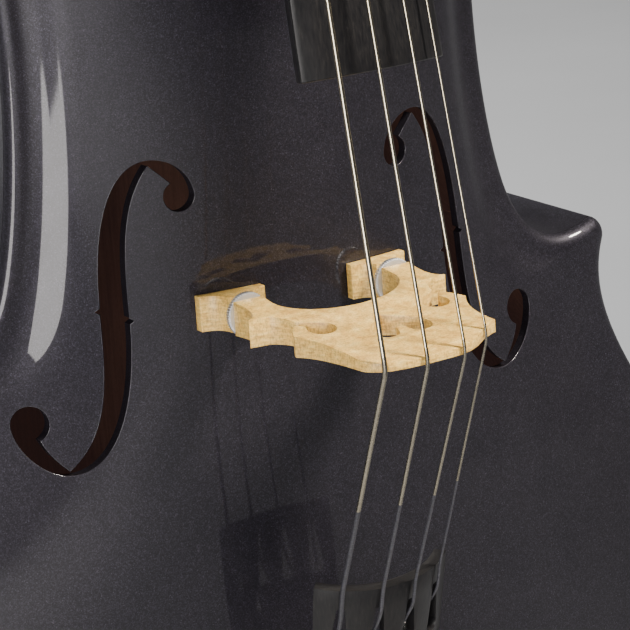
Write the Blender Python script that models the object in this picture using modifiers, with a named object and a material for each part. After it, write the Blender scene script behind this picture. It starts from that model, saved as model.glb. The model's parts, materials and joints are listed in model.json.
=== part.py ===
"""A full-size cello with an adjustable bridge, as an assembly of separate pieces.

Frame: +Z runs along the neck, the belly faces -Y and the treble side is +X. The origin is the
centre of the endpin tip's flat end. Sizes are in millimetres until world() turns them into metres.

Most shapes are laid out in the belly's own coordinates (x, z, n): x to the treble side, z up from
the bridge line, and n out of the belly from its highest point under the bridge.
"""

import math

import bmesh
import bpy
from mathutils import Matrix, Vector

MM = 0.001
GAP = 0.3

# Body
BODY_BELOW_BRIDGE = 355.0
BODY_ABOVE_BRIDGE = 400.0
RIB_HEIGHT = 112.0
RIB_THICKNESS = 2.5
PLATE_EDGE = 5.0
PLATE_THICKNESS = PLATE_EDGE - GAP
EDGE_ROUNDING = 5.0
BELLY_ARCH = 25.5
BACK_ARCH = 24.0
ARCH_MIDDLE = 22.5
ARCH_HALF_LENGTH = 369.5
LINING_THICKNESS = 5.0
LINING_HEIGHT = 12.0
BLOCK_HEIGHT = RIB_HEIGHT - 2 * (LINING_HEIGHT + GAP)

# Endpin
PIN_OUT = 300.0
PIN_INSIDE = 150.0
PIN_RADIUS = 5.0
TIP_RADIUS = 8.0
TIP_HEIGHT = 24.0
PLUG_BORE = PIN_RADIUS + 0.25
PLUG_HOLE = 12.0

# Strings, from bass to treble: radius, place at the nut, over the bridge and at the tailpiece
STRING_NAMES = ("c", "g", "d", "a")
STRING_RADII = (0.95, 0.75, 0.62, 0.5)
BRIDGE_SPACING = 16.0
NUT_SPACING = 7.5
TAIL_SPACING = 13.75
CROWN_HEIGHTS = (89.8, 92.1, 91.5, 81.4)
NUT_LINE = 686.0
NUT_HEIGHT = -50.4
NECK_SLOPE = 0.1948
HEAD_SLOPE_EXTRA = math.radians(8.0)

# Fingerboard and neck
BOARD_LENGTH = 604.0
BOARD_RADIUS = 60.0
BOARD_WIDTH_NUT = 31.0
BOARD_WIDTH_END = 62.0
BOARD_TILT_END = 0.08
BOARD_DEPTH_NUT = 9.6
BOARD_DEPTH_END = 15.6
HANDLE_DEPTH = 19.5

# Bridge
BRIDGE_TAIL_FACE = -5.7
BRIDGE_FOOT_SPAN = (18.6, 44.4)
FOOT_THICKNESS = 13.2
FOOT_TOP = 8.6
LEG_BOTTOM = 12.8
LEG_MIDDLE = 31.6
WHEEL_RADIUS = 8.3
WHEEL_SPAN = (9.9, 12.5)
WHEEL_TEETH = 24
STUD_RADIUS = 2.0
STUD_SPAN = (3.0, 23.0)
BORE_GAP = 0.2

# Pegs: distance from the nut along the pegbox, and the side the head is on
PEG_PLACES = {"c": (32.0, -1), "a": (57.0, 1), "g": (86.0, -1), "d": (111.0, 1)}
PEG_AXIS_DEPTH = 14.0
PEG_SHANK = (7.0, 5.6)
PEG_SIDES = 20

# Tailpiece
TAIL_TOP = (-100.0, 51.0)
TAIL_SLOPE = math.radians(13.7)
TAIL_LENGTH = 242.7
TAIL_RADIUS = 42.0
TAIL_SHELL = 4.5
SLOT_PLACE = 22.0
TUNER_PLACE = 62.0
TUNER_SPACING = 13.0
LEVER_DEPTH = -12.2
PIVOT_OFFSET = 20.0
WEB_SPAN = (37.0, 47.0)
WEB_DEPTH = 15.5
CORD_RADIUS = 1.6
LOOP_RADIUS = 14.4

BELLY_Y = -(RIB_HEIGHT / 2 + PLATE_EDGE + BELLY_ARCH)
STOP_Z = PIN_OUT + BODY_BELOW_BRIDGE


# ---------------------------------------------------------------- scene and small helpers


def clear_scene():
    for old in list(bpy.data.objects):
        bpy.data.objects.remove(old)


def new_collection(name):
    made = bpy.data.collections.new(name)
    bpy.context.scene.collection.children.link(made)
    return made


def material(name, colour, roughness, metallic=0.0):
    made = bpy.data.materials.new(name)
    made.use_nodes = True
    shader = made.node_tree.nodes["Principled BSDF"]
    shader.inputs["Base Color"].default_value = (*colour, 1)
    shader.inputs["Roughness"].default_value = roughness
    shader.inputs["Metallic"].default_value = metallic
    made.diffuse_color = (*colour, 1)
    return made


def world(x, z, n):
    """Belly coordinates in millimetres to the part's frame in metres."""
    return Vector((x * MM, (BELLY_Y - n) * MM, (STOP_Z + z) * MM))


def from_middle(x, z, y):
    """Like world(), with y measured back from the middle of the ribs' height."""
    return Vector((x * MM, y * MM, (STOP_Z + z) * MM))


def put(obj, mat, cutter=False):
    (cutters if cutter else parts).objects.link(obj)
    if cutter:
        obj.hide_render = True
        obj.display_type = "WIRE"
    elif mat:
        obj.data.materials.clear()
        obj.data.materials.append(mat)
    return obj


def face_outwards(mesh, weld=0.0):
    shape = bmesh.new()
    shape.from_mesh(mesh)
    if weld:
        bmesh.ops.remove_doubles(shape, verts=shape.verts, dist=weld)
    bmesh.ops.recalc_face_normals(shape, faces=shape.faces)
    shape.to_mesh(mesh)
    shape.free()


def mesh_piece(name, points, faces, mat, cutter=False):
    mesh = bpy.data.meshes.new(name)
    mesh.from_pydata([tuple(p) for p in points], [], faces)
    face_outwards(mesh)
    return put(bpy.data.objects.new(name, mesh), mat, cutter)


def loft(name, rings, mat, cutter=False):
    """A closed solid through rings that all have the same number of points."""
    count = len(rings[0])
    points = [p for ring in rings for p in ring]
    faces = [tuple(range(count)), tuple(range(len(points) - count, len(points)))]
    for row in range(len(rings) - 1):
        for i in range(count):
            j = (i + 1) % count
            a = row * count
            faces.append((a + i, a + j, a + count + j, a + count + i))
    return mesh_piece(name, points, faces, mat, cutter)


def slab(name, outline, place, depth, mat, cutter=False, holes=()):
    """A flat outline with filled faces, extruded both ways along its local Z by half of depth."""
    curve = bpy.data.curves.new(name, "CURVE")
    curve.dimensions = "2D"
    curve.fill_mode = "BOTH"
    curve.extrude = depth / 2 * MM
    for loop in (outline, *holes):
        spline = curve.splines.new("POLY")
        spline.points.add(len(loop) - 1)
        for point, (u, v) in zip(spline.points, loop):
            point.co = (u * MM, v * MM, 0, 1)
        spline.use_cyclic_u = True
    guide = bpy.data.objects.new(name + "_curve", curve)
    bpy.context.scene.collection.objects.link(guide)
    bpy.context.view_layer.update()
    mesh = bpy.data.meshes.new_from_object(guide.evaluated_get(bpy.context.evaluated_depsgraph_get()))
    bpy.data.objects.remove(guide)
    mesh.name = name
    face_outwards(mesh, 1e-6)
    obj = put(bpy.data.objects.new(name, mesh), mat, cutter)
    obj.matrix_world = place
    return obj


def turned(name, profile, place, mat, steps=24, cutter=False):
    """A profile of (radius, height) points down the outer side, turned about the local Z axis."""
    mesh = bpy.data.meshes.new(name)
    points = [(radius * MM, 0, height * MM) for radius, height in profile]
    edges = [(i, i + 1) for i in range(len(points) - 1)]
    if profile[0][0] > 0:
        edges.append((len(points) - 1, 0))
    mesh.from_pydata(points, edges, [])
    obj = put(bpy.data.objects.new(name, mesh), mat, cutter)
    screw = obj.modifiers.new("Turn", "SCREW")
    screw.steps = steps
    screw.render_steps = steps
    screw.use_merge_vertices = True
    screw.merge_threshold = 1e-5
    screw.use_smooth_shade = True
    obj.matrix_world = place
    return obj


def round_bar(name, radius, low, high, place, mat, sides=16, cutter=False):
    """A cylinder along the local Z axis, from low to high."""
    shape = bmesh.new()
    size = radius * MM
    middle = Matrix.Translation((0, 0, (low + high) / 2 * MM))
    bmesh.ops.create_cone(
        shape,
        cap_ends=True,
        segments=sides,
        radius1=size,
        radius2=size,
        depth=(high - low) * MM,
        matrix=middle,
    )
    mesh = bpy.data.meshes.new(name)
    shape.to_mesh(mesh)
    shape.free()
    mesh.shade_smooth()
    mesh.set_sharp_from_angle(angle=math.radians(40))
    obj = put(bpy.data.objects.new(name, mesh), mat, cutter)
    obj.matrix_world = place
    return obj


def tube(name, points, radius, mat, resolution=1):
    """A round wire along a polyline of points in metres."""
    curve = bpy.data.curves.new(name, "CURVE")
    curve.dimensions = "3D"
    curve.bevel_depth = radius * MM
    curve.bevel_resolution = resolution
    curve.use_fill_caps = True
    spline = curve.splines.new("POLY")
    spline.points.add(len(points) - 1)
    for point, place in zip(spline.points, points):
        point.co = (*place, 1)
    return put(bpy.data.objects.new(name, curve), mat)


def boolean(target, other, operation):
    step = target.modifiers.new(operation.title() + " " + other.name, "BOOLEAN")
    step.operation = operation
    step.object = other


def cut(target, *others):
    for other in others:
        boolean(target, other, "DIFFERENCE")


def join(target, *others):
    for other in others:
        boolean(target, other, "UNION")


def axes(origin, x_axis, z_axis):
    """A matrix at origin whose local X and Z point along the two given directions."""
    z_axis = Vector(z_axis).normalized()
    x_axis = Vector(x_axis).normalized()
    y_axis = z_axis.cross(x_axis)
    turn = Matrix((x_axis, y_axis, z_axis)).transposed().to_4x4()
    return Matrix.Translation(origin) @ turn


def flat_on_belly(y_middle):
    """Local X is across, local Y is up the body and local Z is out of the belly."""
    return axes(from_middle(0, 0, y_middle), (1, 0, 0), (0, -1, 0))


def bezier(start, first, second, end, steps):
    """Points along a cubic curve, without its last one."""
    found = []
    for i in range(steps):
        t = i / steps
        weights = ((1 - t) ** 3, 3 * t * (1 - t) ** 2, 3 * t * t * (1 - t), t**3)
        pairs = list(zip(weights, (start, first, second, end)))
        found.append(tuple(sum(w * p[k] for w, p in pairs) for k in (0, 1)))
    return found


def smooth(t):
    t = min(1.0, max(0.0, t))
    return t * t * (3 - 2 * t)


def curve_through(stations, at):
    """A smooth value at a place between (place, value) stations."""
    last = len(stations) - 1
    if at <= stations[0][0]:
        return stations[0][1]
    if at >= stations[last][0]:
        return stations[last][1]
    k = max(i for i in range(last) if stations[i][0] <= at)
    (z1, w1), (z2, w2) = stations[k], stations[k + 1]
    z0, w0 = stations[max(k - 1, 0)]
    z3, w3 = stations[min(k + 2, last)]
    slope1 = (w2 - w0) / (z2 - z0)
    slope2 = (w3 - w1) / (z3 - z1)
    h = z2 - z1
    t = (at - z1) / h
    blend = ((1 + 2 * t) * (1 - t) ** 2, t * (1 - t) ** 2 * h, t * t * (3 - 2 * t), t * t * (t - 1) * h)
    return blend[0] * w1 + blend[1] * slope1 + blend[2] * w2 + blend[3] * slope2


# ---------------------------------------------------------------- the body's outline and arch

# Knots of the treble half, from the bottom to the top: (x, z), the curve's two handles towards the
# next knot, the number of points on the way, and the place on the centre line it is drawn towards.
OUTLINE = (
    ((0, -355), (136, -355), (219, -288), 7, -270),
    ((219, -200), (219, -115), (141, -62), 5, -190),
    ((157, -15), (158.5, -11), (156, -6), 1, -75),
    ((152, -5), (147, -7.5), (142, -9), 1, -66),
    ((137, -9), (124, -9), (115, 3), 3, -56),
    ((110.5, 17), (104, 38), (100.5, 70), 2, -20),
    ((100.5, 100), (100.5, 128), (104, 150), 2, 90),
    ((109, 162), (113, 171.5), (118, 176), 2, 195),
    ((126, 176), (131, 176), (135, 174.5), 1, 222),
    ((139, 172), (143, 173), (144.5, 177), 1, 232),
    ((143.5, 181), (134, 212), (170, 238), 4, 240),
    ((170, 285), (170, 345), (120, 400), 7, 290),
    ((0, 400), None, None, 0, 335),
)
LOWER_CORNER = (2, 3)
UPPER_CORNER = (9, 10)

# Half widths of the arch along the body, where its side slope runs out.
ARCH_STATIONS = (
    (-355, 60),
    (-330, 130),
    (-280, 190),
    (-200, 211),
    (-100, 165),
    (0, 111),
    (100, 97),
    (180, 110),
    (282, 162),
    (350, 140),
    (390, 80),
    (400, 50),
)
ARCH_SOFTNESS = 0.16
ARCH_RINGS = (0.06, 0.25, 0.6, 1.0)


def half_outline():
    """[(x, z, spine z)] up the treble half, and the index of each knot."""
    found = []
    knots = []
    for (start, first, second, steps, spine), following in zip(OUTLINE, OUTLINE[1:]):
        knots.append(len(found))
        for i, (x, z) in enumerate(bezier(start, first, second, following[0], steps)):
            found.append((x, z, spine + (following[4] - spine) * i / steps))
    knots.append(len(found))
    (x, z), spine = OUTLINE[-1][0], OUTLINE[-1][4]
    found.append((x, z, spine))
    return found, knots


HALF, KNOTS = half_outline()


def inset(distance):
    """The treble half's outline moved inwards, as (x, z) points."""
    moved = []
    for i, (x, z, _) in enumerate(HALF):
        before = (-HALF[1][0], HALF[1][1]) if i == 0 else HALF[i - 1][:2]
        after = (-HALF[-2][0], HALF[-2][1]) if i == len(HALF) - 1 else HALF[i + 1][:2]
        first = Vector((x - before[0], z - before[1])).normalized()
        second = Vector((after[0] - x, after[1] - z)).normalized()
        inward = Vector((-first.y - second.y, first.x + second.x))
        inward /= max(0.5, inward.dot(Vector((-first.y, first.x))))
        moved.append((max(0.0, x + inward.x * distance), z + inward.y * distance))
    moved[0] = (0.0, moved[0][1])
    moved[-1] = (0.0, moved[-1][1])
    return moved


def soft(p):
    """p where it is positive, running out softly to nothing where it is negative; soft(1) is 1."""
    e = ARCH_SOFTNESS
    return (p + math.sqrt(p * p + e * e)) / (1 + math.sqrt(1 + e * e))


def arch_share(x, z):
    """The arch's height as a share of its height under the bridge."""
    across = x / curve_through(ARCH_STATIONS, z)
    along = abs(z - ARCH_MIDDLE) / ARCH_HALF_LENGTH
    return soft(1 - across * across) * soft(1 - along**3.5)


def belly_height(x, z):
    """The belly's n away from its edge."""
    return BELLY_ARCH * (arch_share(x, z) - 1)


def plate(name, arch, side, mat):
    """An arched plate with a rounded edge: its treble half as a loft, mirrored."""
    edge_y = RIB_HEIGHT / 2 + GAP
    top_y = RIB_HEIGHT / 2 + PLATE_EDGE
    outer = inset(0)
    bend = inset(EDGE_ROUNDING * 0.3)
    flat = inset(EDGE_ROUNDING)
    points = []
    for i, (_, _, spine) in enumerate(HALF):
        inner = [(*bend[i], 0), (*flat[i], 0)]
        for t in ARCH_RINGS:
            x = flat[i][0] * (1 - t)
            z = flat[i][1] + (spine - flat[i][1]) * t
            inner.append((x, z, arch * arch_share(x, z) * smooth(t / 0.16)))
        outside = [(x, z, top_y + rise) for x, z, rise in inner]
        outside[0] = (*bend[i], top_y - EDGE_ROUNDING * 0.3)
        under = [(x, z, edge_y + rise) for x, z, rise in reversed(inner)]
        points += [from_middle(x, z, side * y) for x, z, y in [(*outer[i], edge_y), *outside, *under]]
    width = len(points) // len(HALF)
    on_centre_line = width // 2
    faces = []
    for i in range(len(HALF) - 1):
        for k in range(width):
            if k == on_centre_line:
                continue
            a, b = i * width + k, i * width + (k + 1) % width
            quad = (a, a + width, b + width, b)
            faces.append(quad if side < 0 else quad[::-1])
    mesh = bpy.data.meshes.new(name)
    mesh.from_pydata([tuple(p) for p in points], [], faces)
    obj = put(bpy.data.objects.new(name, mesh), mat)
    mirror = obj.modifiers.new("Other half", "MIRROR")
    mirror.merge_threshold = 1e-5
    weld = obj.modifiers.new("Centre line", "WELD")
    weld.merge_threshold = 1e-5
    return obj


# One f-hole, on the treble side: corners and the curves between them, in (x, z).
F_EYE_TOP = ((46.3, 44.6), 5.9)
F_EYE_LOW = ((107.5, -31.0), 7.0)
NICK = 1.9


def arc(centre, radius, start, end, steps):
    found = []
    for i in range(steps):
        angle = math.radians(start + (end - start) * i / steps)
        found.append((centre[0] + radius * math.cos(angle), centre[1] + radius * math.sin(angle)))
    return found


def f_hole(fine=1):
    """The closed outline, from the upper wing's tip round the upper eye, down the outer side,
    round the lower eye and back up the inner side."""
    points = [(56.6, 56.9)]
    points += arc(*F_EYE_TOP, 60, -180, 8 * fine)
    points += bezier((40.4, 44.6), (40.9, 52.0), (47.5, 59.2), (56.5, 59.2), 4 * fine)
    points += bezier((56.5, 59.2), (71.0, 59.2), (77.4, 36.0), (78.2, 8.0), 6 * fine)
    points += [(78.3, 7.6), (78.4 + NICK, 6.4), (78.4, 5.2)]
    points += bezier((78.5, 4.0), (79.0, -22.0), (81.0, -39.0), (96.0, -49.6), 6 * fine)
    points += bezier((96.0, -49.6), (99.0, -46.0), (102.0, -43.5), (104.6, -37.4), 2 * fine)
    points += arc(*F_EYE_LOW, 245, 0, 8 * fine)
    points += bezier((114.5, -31.0), (114.0, -41.0), (104.0, -51.8), (94.5, -51.8), 4 * fine)
    points += bezier((94.5, -51.8), (76.0, -51.8), (68.6, -24.0), (68.1, 0.0), 6 * fine)
    points += [(68.1, 0.2), (68.0 - NICK, 1.4), (68.0, 2.6)]
    points += bezier((68.0, 4.0), (67.8, 30.0), (66.0, 45.0), (56.6, 56.9), 5 * fine)
    return points


def other_side(outline):
    return [(-u, v) for u, v in reversed(outline)]


def make_plates():
    top = plate("top_plate", BELLY_ARCH, -1, BLACK)
    outline = f_hole()
    middle = -(RIB_HEIGHT / 2 + BELLY_ARCH / 2)
    treble = slab("f_hole_treble", outline, flat_on_belly(middle), 60, None, True)
    bass = slab("f_hole_bass", other_side(outline), flat_on_belly(middle), 60, None, True)
    notch = [(-20 - GAP, -360), (20 + GAP, -360), (20 + GAP, -346.7), (-20 - GAP, -346.7)]
    saddle_notch = slab("saddle_notch", notch, flat_on_belly(-RIB_HEIGHT / 2 - 6), 16, None, True)
    cut(top, treble, bass, saddle_notch)
    back = plate("back_plate", BACK_ARCH, 1, BLACK)
    button = [(-14, 396), (14, 396)] + arc((0, 404), 14, 0, 180, 8) + [(-14, 404)]
    middle = RIB_HEIGHT / 2 + (GAP + PLATE_EDGE) / 2
    join(back, slab("button", button, flat_on_belly(middle), PLATE_EDGE - GAP - 0.4, None, True))


def make_ribs():
    rim = inset(0)
    loop = [(x, z) for x, z in rim] + [(-x, z) for x, z in reversed(rim[1:-1])]
    half = RIB_HEIGHT / 2
    count = len(loop)
    points = [from_middle(x, z, -half) for x, z in loop] + [from_middle(x, z, half) for x, z in loop]
    faces = [(i, i + count, (i + 1) % count + count, (i + 1) % count) for i in range(count)]
    mesh = bpy.data.meshes.new("ribs")
    mesh.from_pydata([tuple(p) for p in points], [], faces)
    ribs = put(bpy.data.objects.new("ribs", mesh), BLACK)
    wall = ribs.modifiers.new("Thickness", "SOLIDIFY")
    wall.thickness = RIB_THICKNESS * MM
    wall.offset = -1
    wall.use_even_offset = True
    cut(ribs, plug_hole("rib_hole", -360, -345))


def plug_hole(name, low, high):
    return round_bar(name, PLUG_HOLE, low, high, Matrix.Translation(from_middle(0, 0, 0)), None, 24, True)


def block(name, first, last, height, inner, side=1):
    """A glued block whose outer face follows the ribs from one outline point to another."""
    offset = inset(RIB_THICKNESS + GAP)
    outline = [(side * x, z) for x, z in offset[first : last + 1]] + inner
    return slab(name, outline, flat_on_belly(0), height, WOOD)


def make_blocks():
    inside = RIB_THICKNESS + GAP
    reach = 2
    offset = inset(inside)
    low = offset[: reach + 1]
    bottom = [(-x, z) for x, z in reversed(low[1:])] + low
    width = bottom[-1][0]
    bottom += [(width, -325), (-width, -325)]
    end_block = slab("end_block", bottom, flat_on_belly(0), RIB_HEIGHT - 2 * GAP, WOOD)
    cut(end_block, plug_hole("block_hole", -360, -320))
    high = offset[len(offset) - 1 - reach :]
    top = high + [(-x, z) for x, z in reversed(high[:-1])]
    width = top[0][0]
    top += [(-width, 352), (width, 352)]
    slab("neck_block", top, flat_on_belly(0), RIB_HEIGHT - 2 * GAP, WOOD)
    for where, (first, last) in (("lower", LOWER_CORNER), ("upper", UPPER_CORNER)):
        start, end = KNOTS[first] - 2, KNOTS[last] + 2
        for hand, side in (("bass", -1), ("treble", 1)):
            block(f"corner_block_{where}_{hand}", start, end, BLOCK_HEIGHT, [], side)


def make_linings():
    """Strips glued along the ribs' inner edges, between the blocks' places."""
    near = inset(RIB_THICKNESS + GAP)
    far = inset(RIB_THICKNESS + GAP + LINING_THICKNESS)
    spans = {
        "lower": (3, KNOTS[2] - 1),
        "waist": (KNOTS[4] + 1, KNOTS[8] - 1),
        "upper": (KNOTS[10] + 1, len(HALF) - 4),
    }
    middle = RIB_HEIGHT / 2 - LINING_HEIGHT / 2 - GAP / 2
    for part, (first, last) in spans.items():
        for hand, side in (("bass", -1), ("treble", 1)):
            strip = near[first : last + 1] + list(reversed(far[first : last + 1]))
            strip = [(side * x, z) for x, z in strip]
            for face, y in (("top", -middle), ("back", middle)):
                slab(f"lining_{face}_{part}_{hand}", strip, flat_on_belly(y), LINING_HEIGHT - GAP, WOOD)


def make_bass_bar():
    rings = []
    steps = 10
    for i in range(steps + 1):
        z = -235 + 520 * i / steps
        x = -23 - 4 * (0.5 - i / steps)
        share = math.sin(math.pi * (0.08 + 0.84 * i / steps))
        depth = 22 * share**1.2
        top = belly_height(x, z) - PLATE_THICKNESS - 2.2
        half = 5.5
        ring = [(x - half, top), (x + half, top), (x + half, top - depth), (x - half, top - depth)]
        rings.append([world(u, z, n) for u, n in ring])
    loft("bass_bar", rings, WOOD)


def make_sound_post():
    x, z = 24.0, -16.0
    top = belly_height(x, z) - PLATE_THICKNESS - 1.9
    back_y = RIB_HEIGHT / 2 + PLATE_EDGE - PLATE_THICKNESS + BACK_ARCH * arch_share(x, z) - 1.9
    low = -(back_y - BELLY_Y)
    place = axes(world(x, z, 0), (1, 0, 0), (0, -1, 0))
    round_bar("sound_post", 5.5, low, top, place, WOOD, 16)


# ---------------------------------------------------------------- neck, head and fingerboard


def board_top(z):
    return NUT_HEIGHT + (NUT_LINE - z) * NECK_SLOPE


def board_share(z):
    return (NUT_LINE - z) / (BOARD_LENGTH * math.cos(math.atan(NECK_SLOPE)))


def board_half_width(z):
    return (BOARD_WIDTH_NUT + (BOARD_WIDTH_END - BOARD_WIDTH_NUT) * board_share(z)) / 2


def board_bottom(z):
    return board_top(z) - (BOARD_DEPTH_NUT + (BOARD_DEPTH_END - BOARD_DEPTH_NUT) * board_share(z))


def board_surface(x, z):
    drop = BOARD_RADIUS - math.sqrt(BOARD_RADIUS**2 - x * x)
    return board_top(z) - drop - BOARD_TILT_END * board_share(z) * x


def neck_frame(f, u, x=0.0, tilt=0.0):
    """A point f out from the playing surface at the nut and u along the neck towards the scroll."""
    angle = math.atan(NECK_SLOPE) + tilt
    z = NUT_LINE + u * math.cos(angle) + f * math.sin(angle)
    n = NUT_HEIGHT - u * math.sin(angle) + f * math.cos(angle)
    return world(x, z, n)


def head_point(f, u, x=0.0):
    """Like neck_frame(), for the pegbox, which leans back a little more than the neck."""
    return neck_frame(f, u, x, HEAD_SLOPE_EXTRA)


def make_fingerboard():
    rings = []
    low = NUT_LINE - BOARD_LENGTH * math.cos(math.atan(NECK_SLOPE))
    high = NUT_LINE - GAP
    body_edge = BODY_ABOVE_BRIDGE
    for z in (low, low + 90, 300, body_edge - 12, body_edge + 10, 540, high):
        half = board_half_width(z)
        bottom = board_bottom(z)
        hollow = 5.0 if z < body_edge else 0.0
        over = [(half * k / 4, board_surface(half * k / 4, z)) for k in range(-4, 5)]
        under = [(half * k / 3 * 0.88, bottom + hollow * (1 - (k / 3) ** 2)) for k in range(3, -4, -1)]
        lean = NECK_SLOPE if z in (low, high) else 0.0
        ring = []
        for x, n in over + under:
            shift = lean * (n - board_top(z))
            ring.append(world(x, z + shift, n - lean * shift))
        rings.append(ring)
    loft("fingerboard", rings, EBONY)


def make_nut():
    rings = []
    for x in (-15.5, -8, 0, 8, 15.5):
        drop = BOARD_RADIUS - math.sqrt(BOARD_RADIUS**2 - x * x)
        top = 0.9 - drop
        low = -BOARD_DEPTH_NUT + GAP
        ring = [(low, 0), (top - 0.8, 0), (top, 1.5), (top, 5), (top - 2, 7), (low, 7)]
        rings.append([neck_frame(f, u, x) for f, u in ring])
    loft("nut", rings, EBONY)


def half_round(half, depth, steps=8):
    """Points (x, down) round the back of a neck section, from one front edge to the other."""
    found = []
    for i in range(steps + 1):
        angle = math.pi * i / steps
        found.append((half * math.cos(angle), depth * math.sin(angle) ** 0.8))
    return found


def make_neck():
    start = BODY_ABOVE_BRIDGE + 0.6
    rings = []
    for z in (start, 450, 530, 610, 660, NUT_LINE + 14):
        half = board_half_width(z) - 0.4
        front = board_bottom(z) - GAP
        rings.append([world(x, z, front - down) for x, down in half_round(half, HANDLE_DEPTH)])
    neck = loft("neck", rings, MAPLE)
    back_edge = -(BELLY_ARCH + 2 * PLATE_EDGE + RIB_HEIGHT)
    rings = []
    for n in (back_edge + PLATE_EDGE + 1, -125, -95, -75, -58, -44, -34, -27, -20):
        flare = 34 * max(0.0, (n + 80) / 60) ** 2
        reach = 25 + flare + 3 * (n - back_edge) / 100
        half = 13 + 9 * smooth((n - back_edge) / 125)
        depths = [(x, start + down) for x, down in half_round(half, reach)]
        rings.append([world(x, z, n) for x, z in depths])
    join(neck, loft("heel", rings, None, True))
    join(neck, *make_head())
    channel = loft("pegbox_channel", pegbox_rings(11.5, 122, 7.5, 8.0, True), None, True)
    cut(neck, channel, *peg_holes())


def pegbox_rings(low, high, wall, floor, channel=False):
    """Sections across the pegbox; a channel is narrower by its walls and open at the front."""
    rings = []
    for i in range(4):
        u = low + (high - low) * i / 3
        half = 20.0 - 5.5 * u / 130 - wall
        back = -41 + 8 * u / 130 + 3 * math.sin(math.pi * u / 130) + floor
        front = 12.0 if channel else -1.0 - 2.0 * math.sin(math.pi * u / 130)
        cheek = half if channel else half - 6
        ring = [(front, -half), (back + 5, -half), (back, -cheek)]
        ring += [(back, cheek), (back + 5, half), (front, half)]
        rings.append([head_point(f, u, x) for f, x in ring])
    return rings


SCROLL_CENTRE = (-24.0, 158.0)
VOLUTE = ((7.0, 32.0), (8.5, 25.5), (14.5, 24.0), (16.0, 19.5), (22.5, 18.0), (24.0, 14.5), (32.0, 13.5))


def make_head():
    box = loft("pegbox", pegbox_rings(9.4, 142, 0, 0), None, True)
    throat = []
    for u, front, back, half in ((128, -3.4, -34, 14.2), (146, -4, -42, 12.9), (160, -8, -44, 12.4)):
        corners = ((front, -half), (back, -half), (back, half), (front, half))
        throat.append([head_point(f, u, x) for f, x in corners])
    profile = [(0, VOLUTE[0][1]), *VOLUTE, *((r, -w) for r, w in reversed(VOLUTE)), (0, -VOLUTE[0][1])]
    place = axes(head_point(*SCROLL_CENTRE), (0, 1, 0), (1, 0, 0))
    return [box, loft("throat", throat, None, True), turned("volute", profile, place, None, 24, True)]


def peg_radius(along):
    """The shank's radius at a distance from its collar."""
    return PEG_SHANK[0] + (PEG_SHANK[1] - PEG_SHANK[0]) * along / 60


def peg_frame(name):
    """Local Z runs along the peg from the pegbox's middle towards its head."""
    u, side = PEG_PLACES[name]
    return axes(head_point(-PEG_AXIS_DEPTH, u), (0, 0, 1), (side, 0, 0))


def cheek(name):
    return 20.0 - 5.5 * PEG_PLACES[name][0] / 130


def peg_holes():
    holes = []
    widen = 1 / math.cos(math.pi / PEG_SIDES)
    for name in STRING_NAMES:
        collar = cheek(name) + 4
        profile = [
            (0, 30),
            ((peg_radius(collar - 30) + BORE_GAP) * widen, 30),
            ((peg_radius(collar + 30) + BORE_GAP) * widen, -30),
            (0, -30),
        ]
        holes.append(turned(f"peg_hole_{name}", profile, peg_frame(name), None, PEG_SIDES, True))
    return holes


def make_pegs():
    for name in STRING_NAMES:
        place = peg_frame(name)
        start = cheek(name) + 4
        end = -cheek(name) - 1
        profile = [
            (0, start + 9),
            (5.5, start + 9),
            (5.0, start + 5),
            (9.2, start + 3.5),
            (9.2, start + 1.5),
            (peg_radius(0), start),
            (peg_radius(start - end), end),
            (0, end - 1.2),
        ]
        peg = turned(f"peg_{name}", profile, place, EBONY, PEG_SIDES)
        head = bmesh.new()
        bmesh.ops.create_uvsphere(head, u_segments=12, v_segments=6, radius=1)
        mesh = bpy.data.meshes.new("peg_head")
        bmesh.ops.scale(head, vec=Vector((17.5, 4.6, 14.5)) * MM, verts=head.verts)
        head.to_mesh(mesh)
        head.free()
        knob = put(bpy.data.objects.new(f"peg_head_{name}", mesh), None, True)
        knob.matrix_world = place @ Matrix.Translation((0, 0, (start + 20) * MM))
        join(peg, knob)


# ---------------------------------------------------------------- strings


def string_path(k):
    """From the ball in the tailpiece over its edge, the bridge and the nut, and round the peg."""
    name = STRING_NAMES[k]
    radius = STRING_RADII[k]
    tail_x = (k - 1.5) * TAIL_SPACING
    crown_x = (k - 1.5) * BRIDGE_SPACING
    nut_x = (k - 1.5) * NUT_SPACING
    crown = CROWN_HEIGHTS[k]
    points = []
    over = radius + 0.6
    for down, height in ((SLOT_PLACE + 3, -9.5), (SLOT_PLACE - 1, -3.5), (10.0, over), (-1.0, over + 0.2)):
        place, lift = tail_surface(tail_x, down)
        points.append(place + lift * height * MM)
    points += [world(crown_x, BRIDGE_TAIL_FACE - 0.3, crown), world(crown_x, -2.4, crown)]
    drop = BOARD_RADIUS - math.sqrt(BOARD_RADIUS**2 - nut_x**2)
    over_nut = 0.9 + GAP + radius - drop
    points += [neck_frame(over_nut, 0.5, nut_x), neck_frame(over_nut, 6.0, nut_x)]
    u, side = PEG_PLACES[name]
    at = side * 2.0
    turns, per_turn = 1.5, 10
    shank = (peg_radius(cheek(name) + 4 - abs(at)) + GAP + radius) / math.cos(math.pi / per_turn)
    for i in range(int(turns * per_turn) + 1):
        angle = math.pi * 0.5 - 2 * math.pi * i / per_turn
        f = -PEG_AXIS_DEPTH + shank * math.sin(angle)
        along = at + side * (0.5 + 2 * radius) * i / per_turn
        points.append(head_point(f, u + shank * math.cos(angle), along))
    return points


def make_strings():
    for k, name in enumerate(STRING_NAMES):
        tube(f"string_{name}", string_path(k), STRING_RADII[k], STEEL)


# ---------------------------------------------------------------- bridge


def bridge_thickness(n):
    """The bridge tapers slowly up to its waist and faster above it."""
    if n < 45:
        return 12.6 - 4.2 * max(0.0, n - 14) / 31
    return 8.4 - 5.8 * (n - 45) / 47


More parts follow.
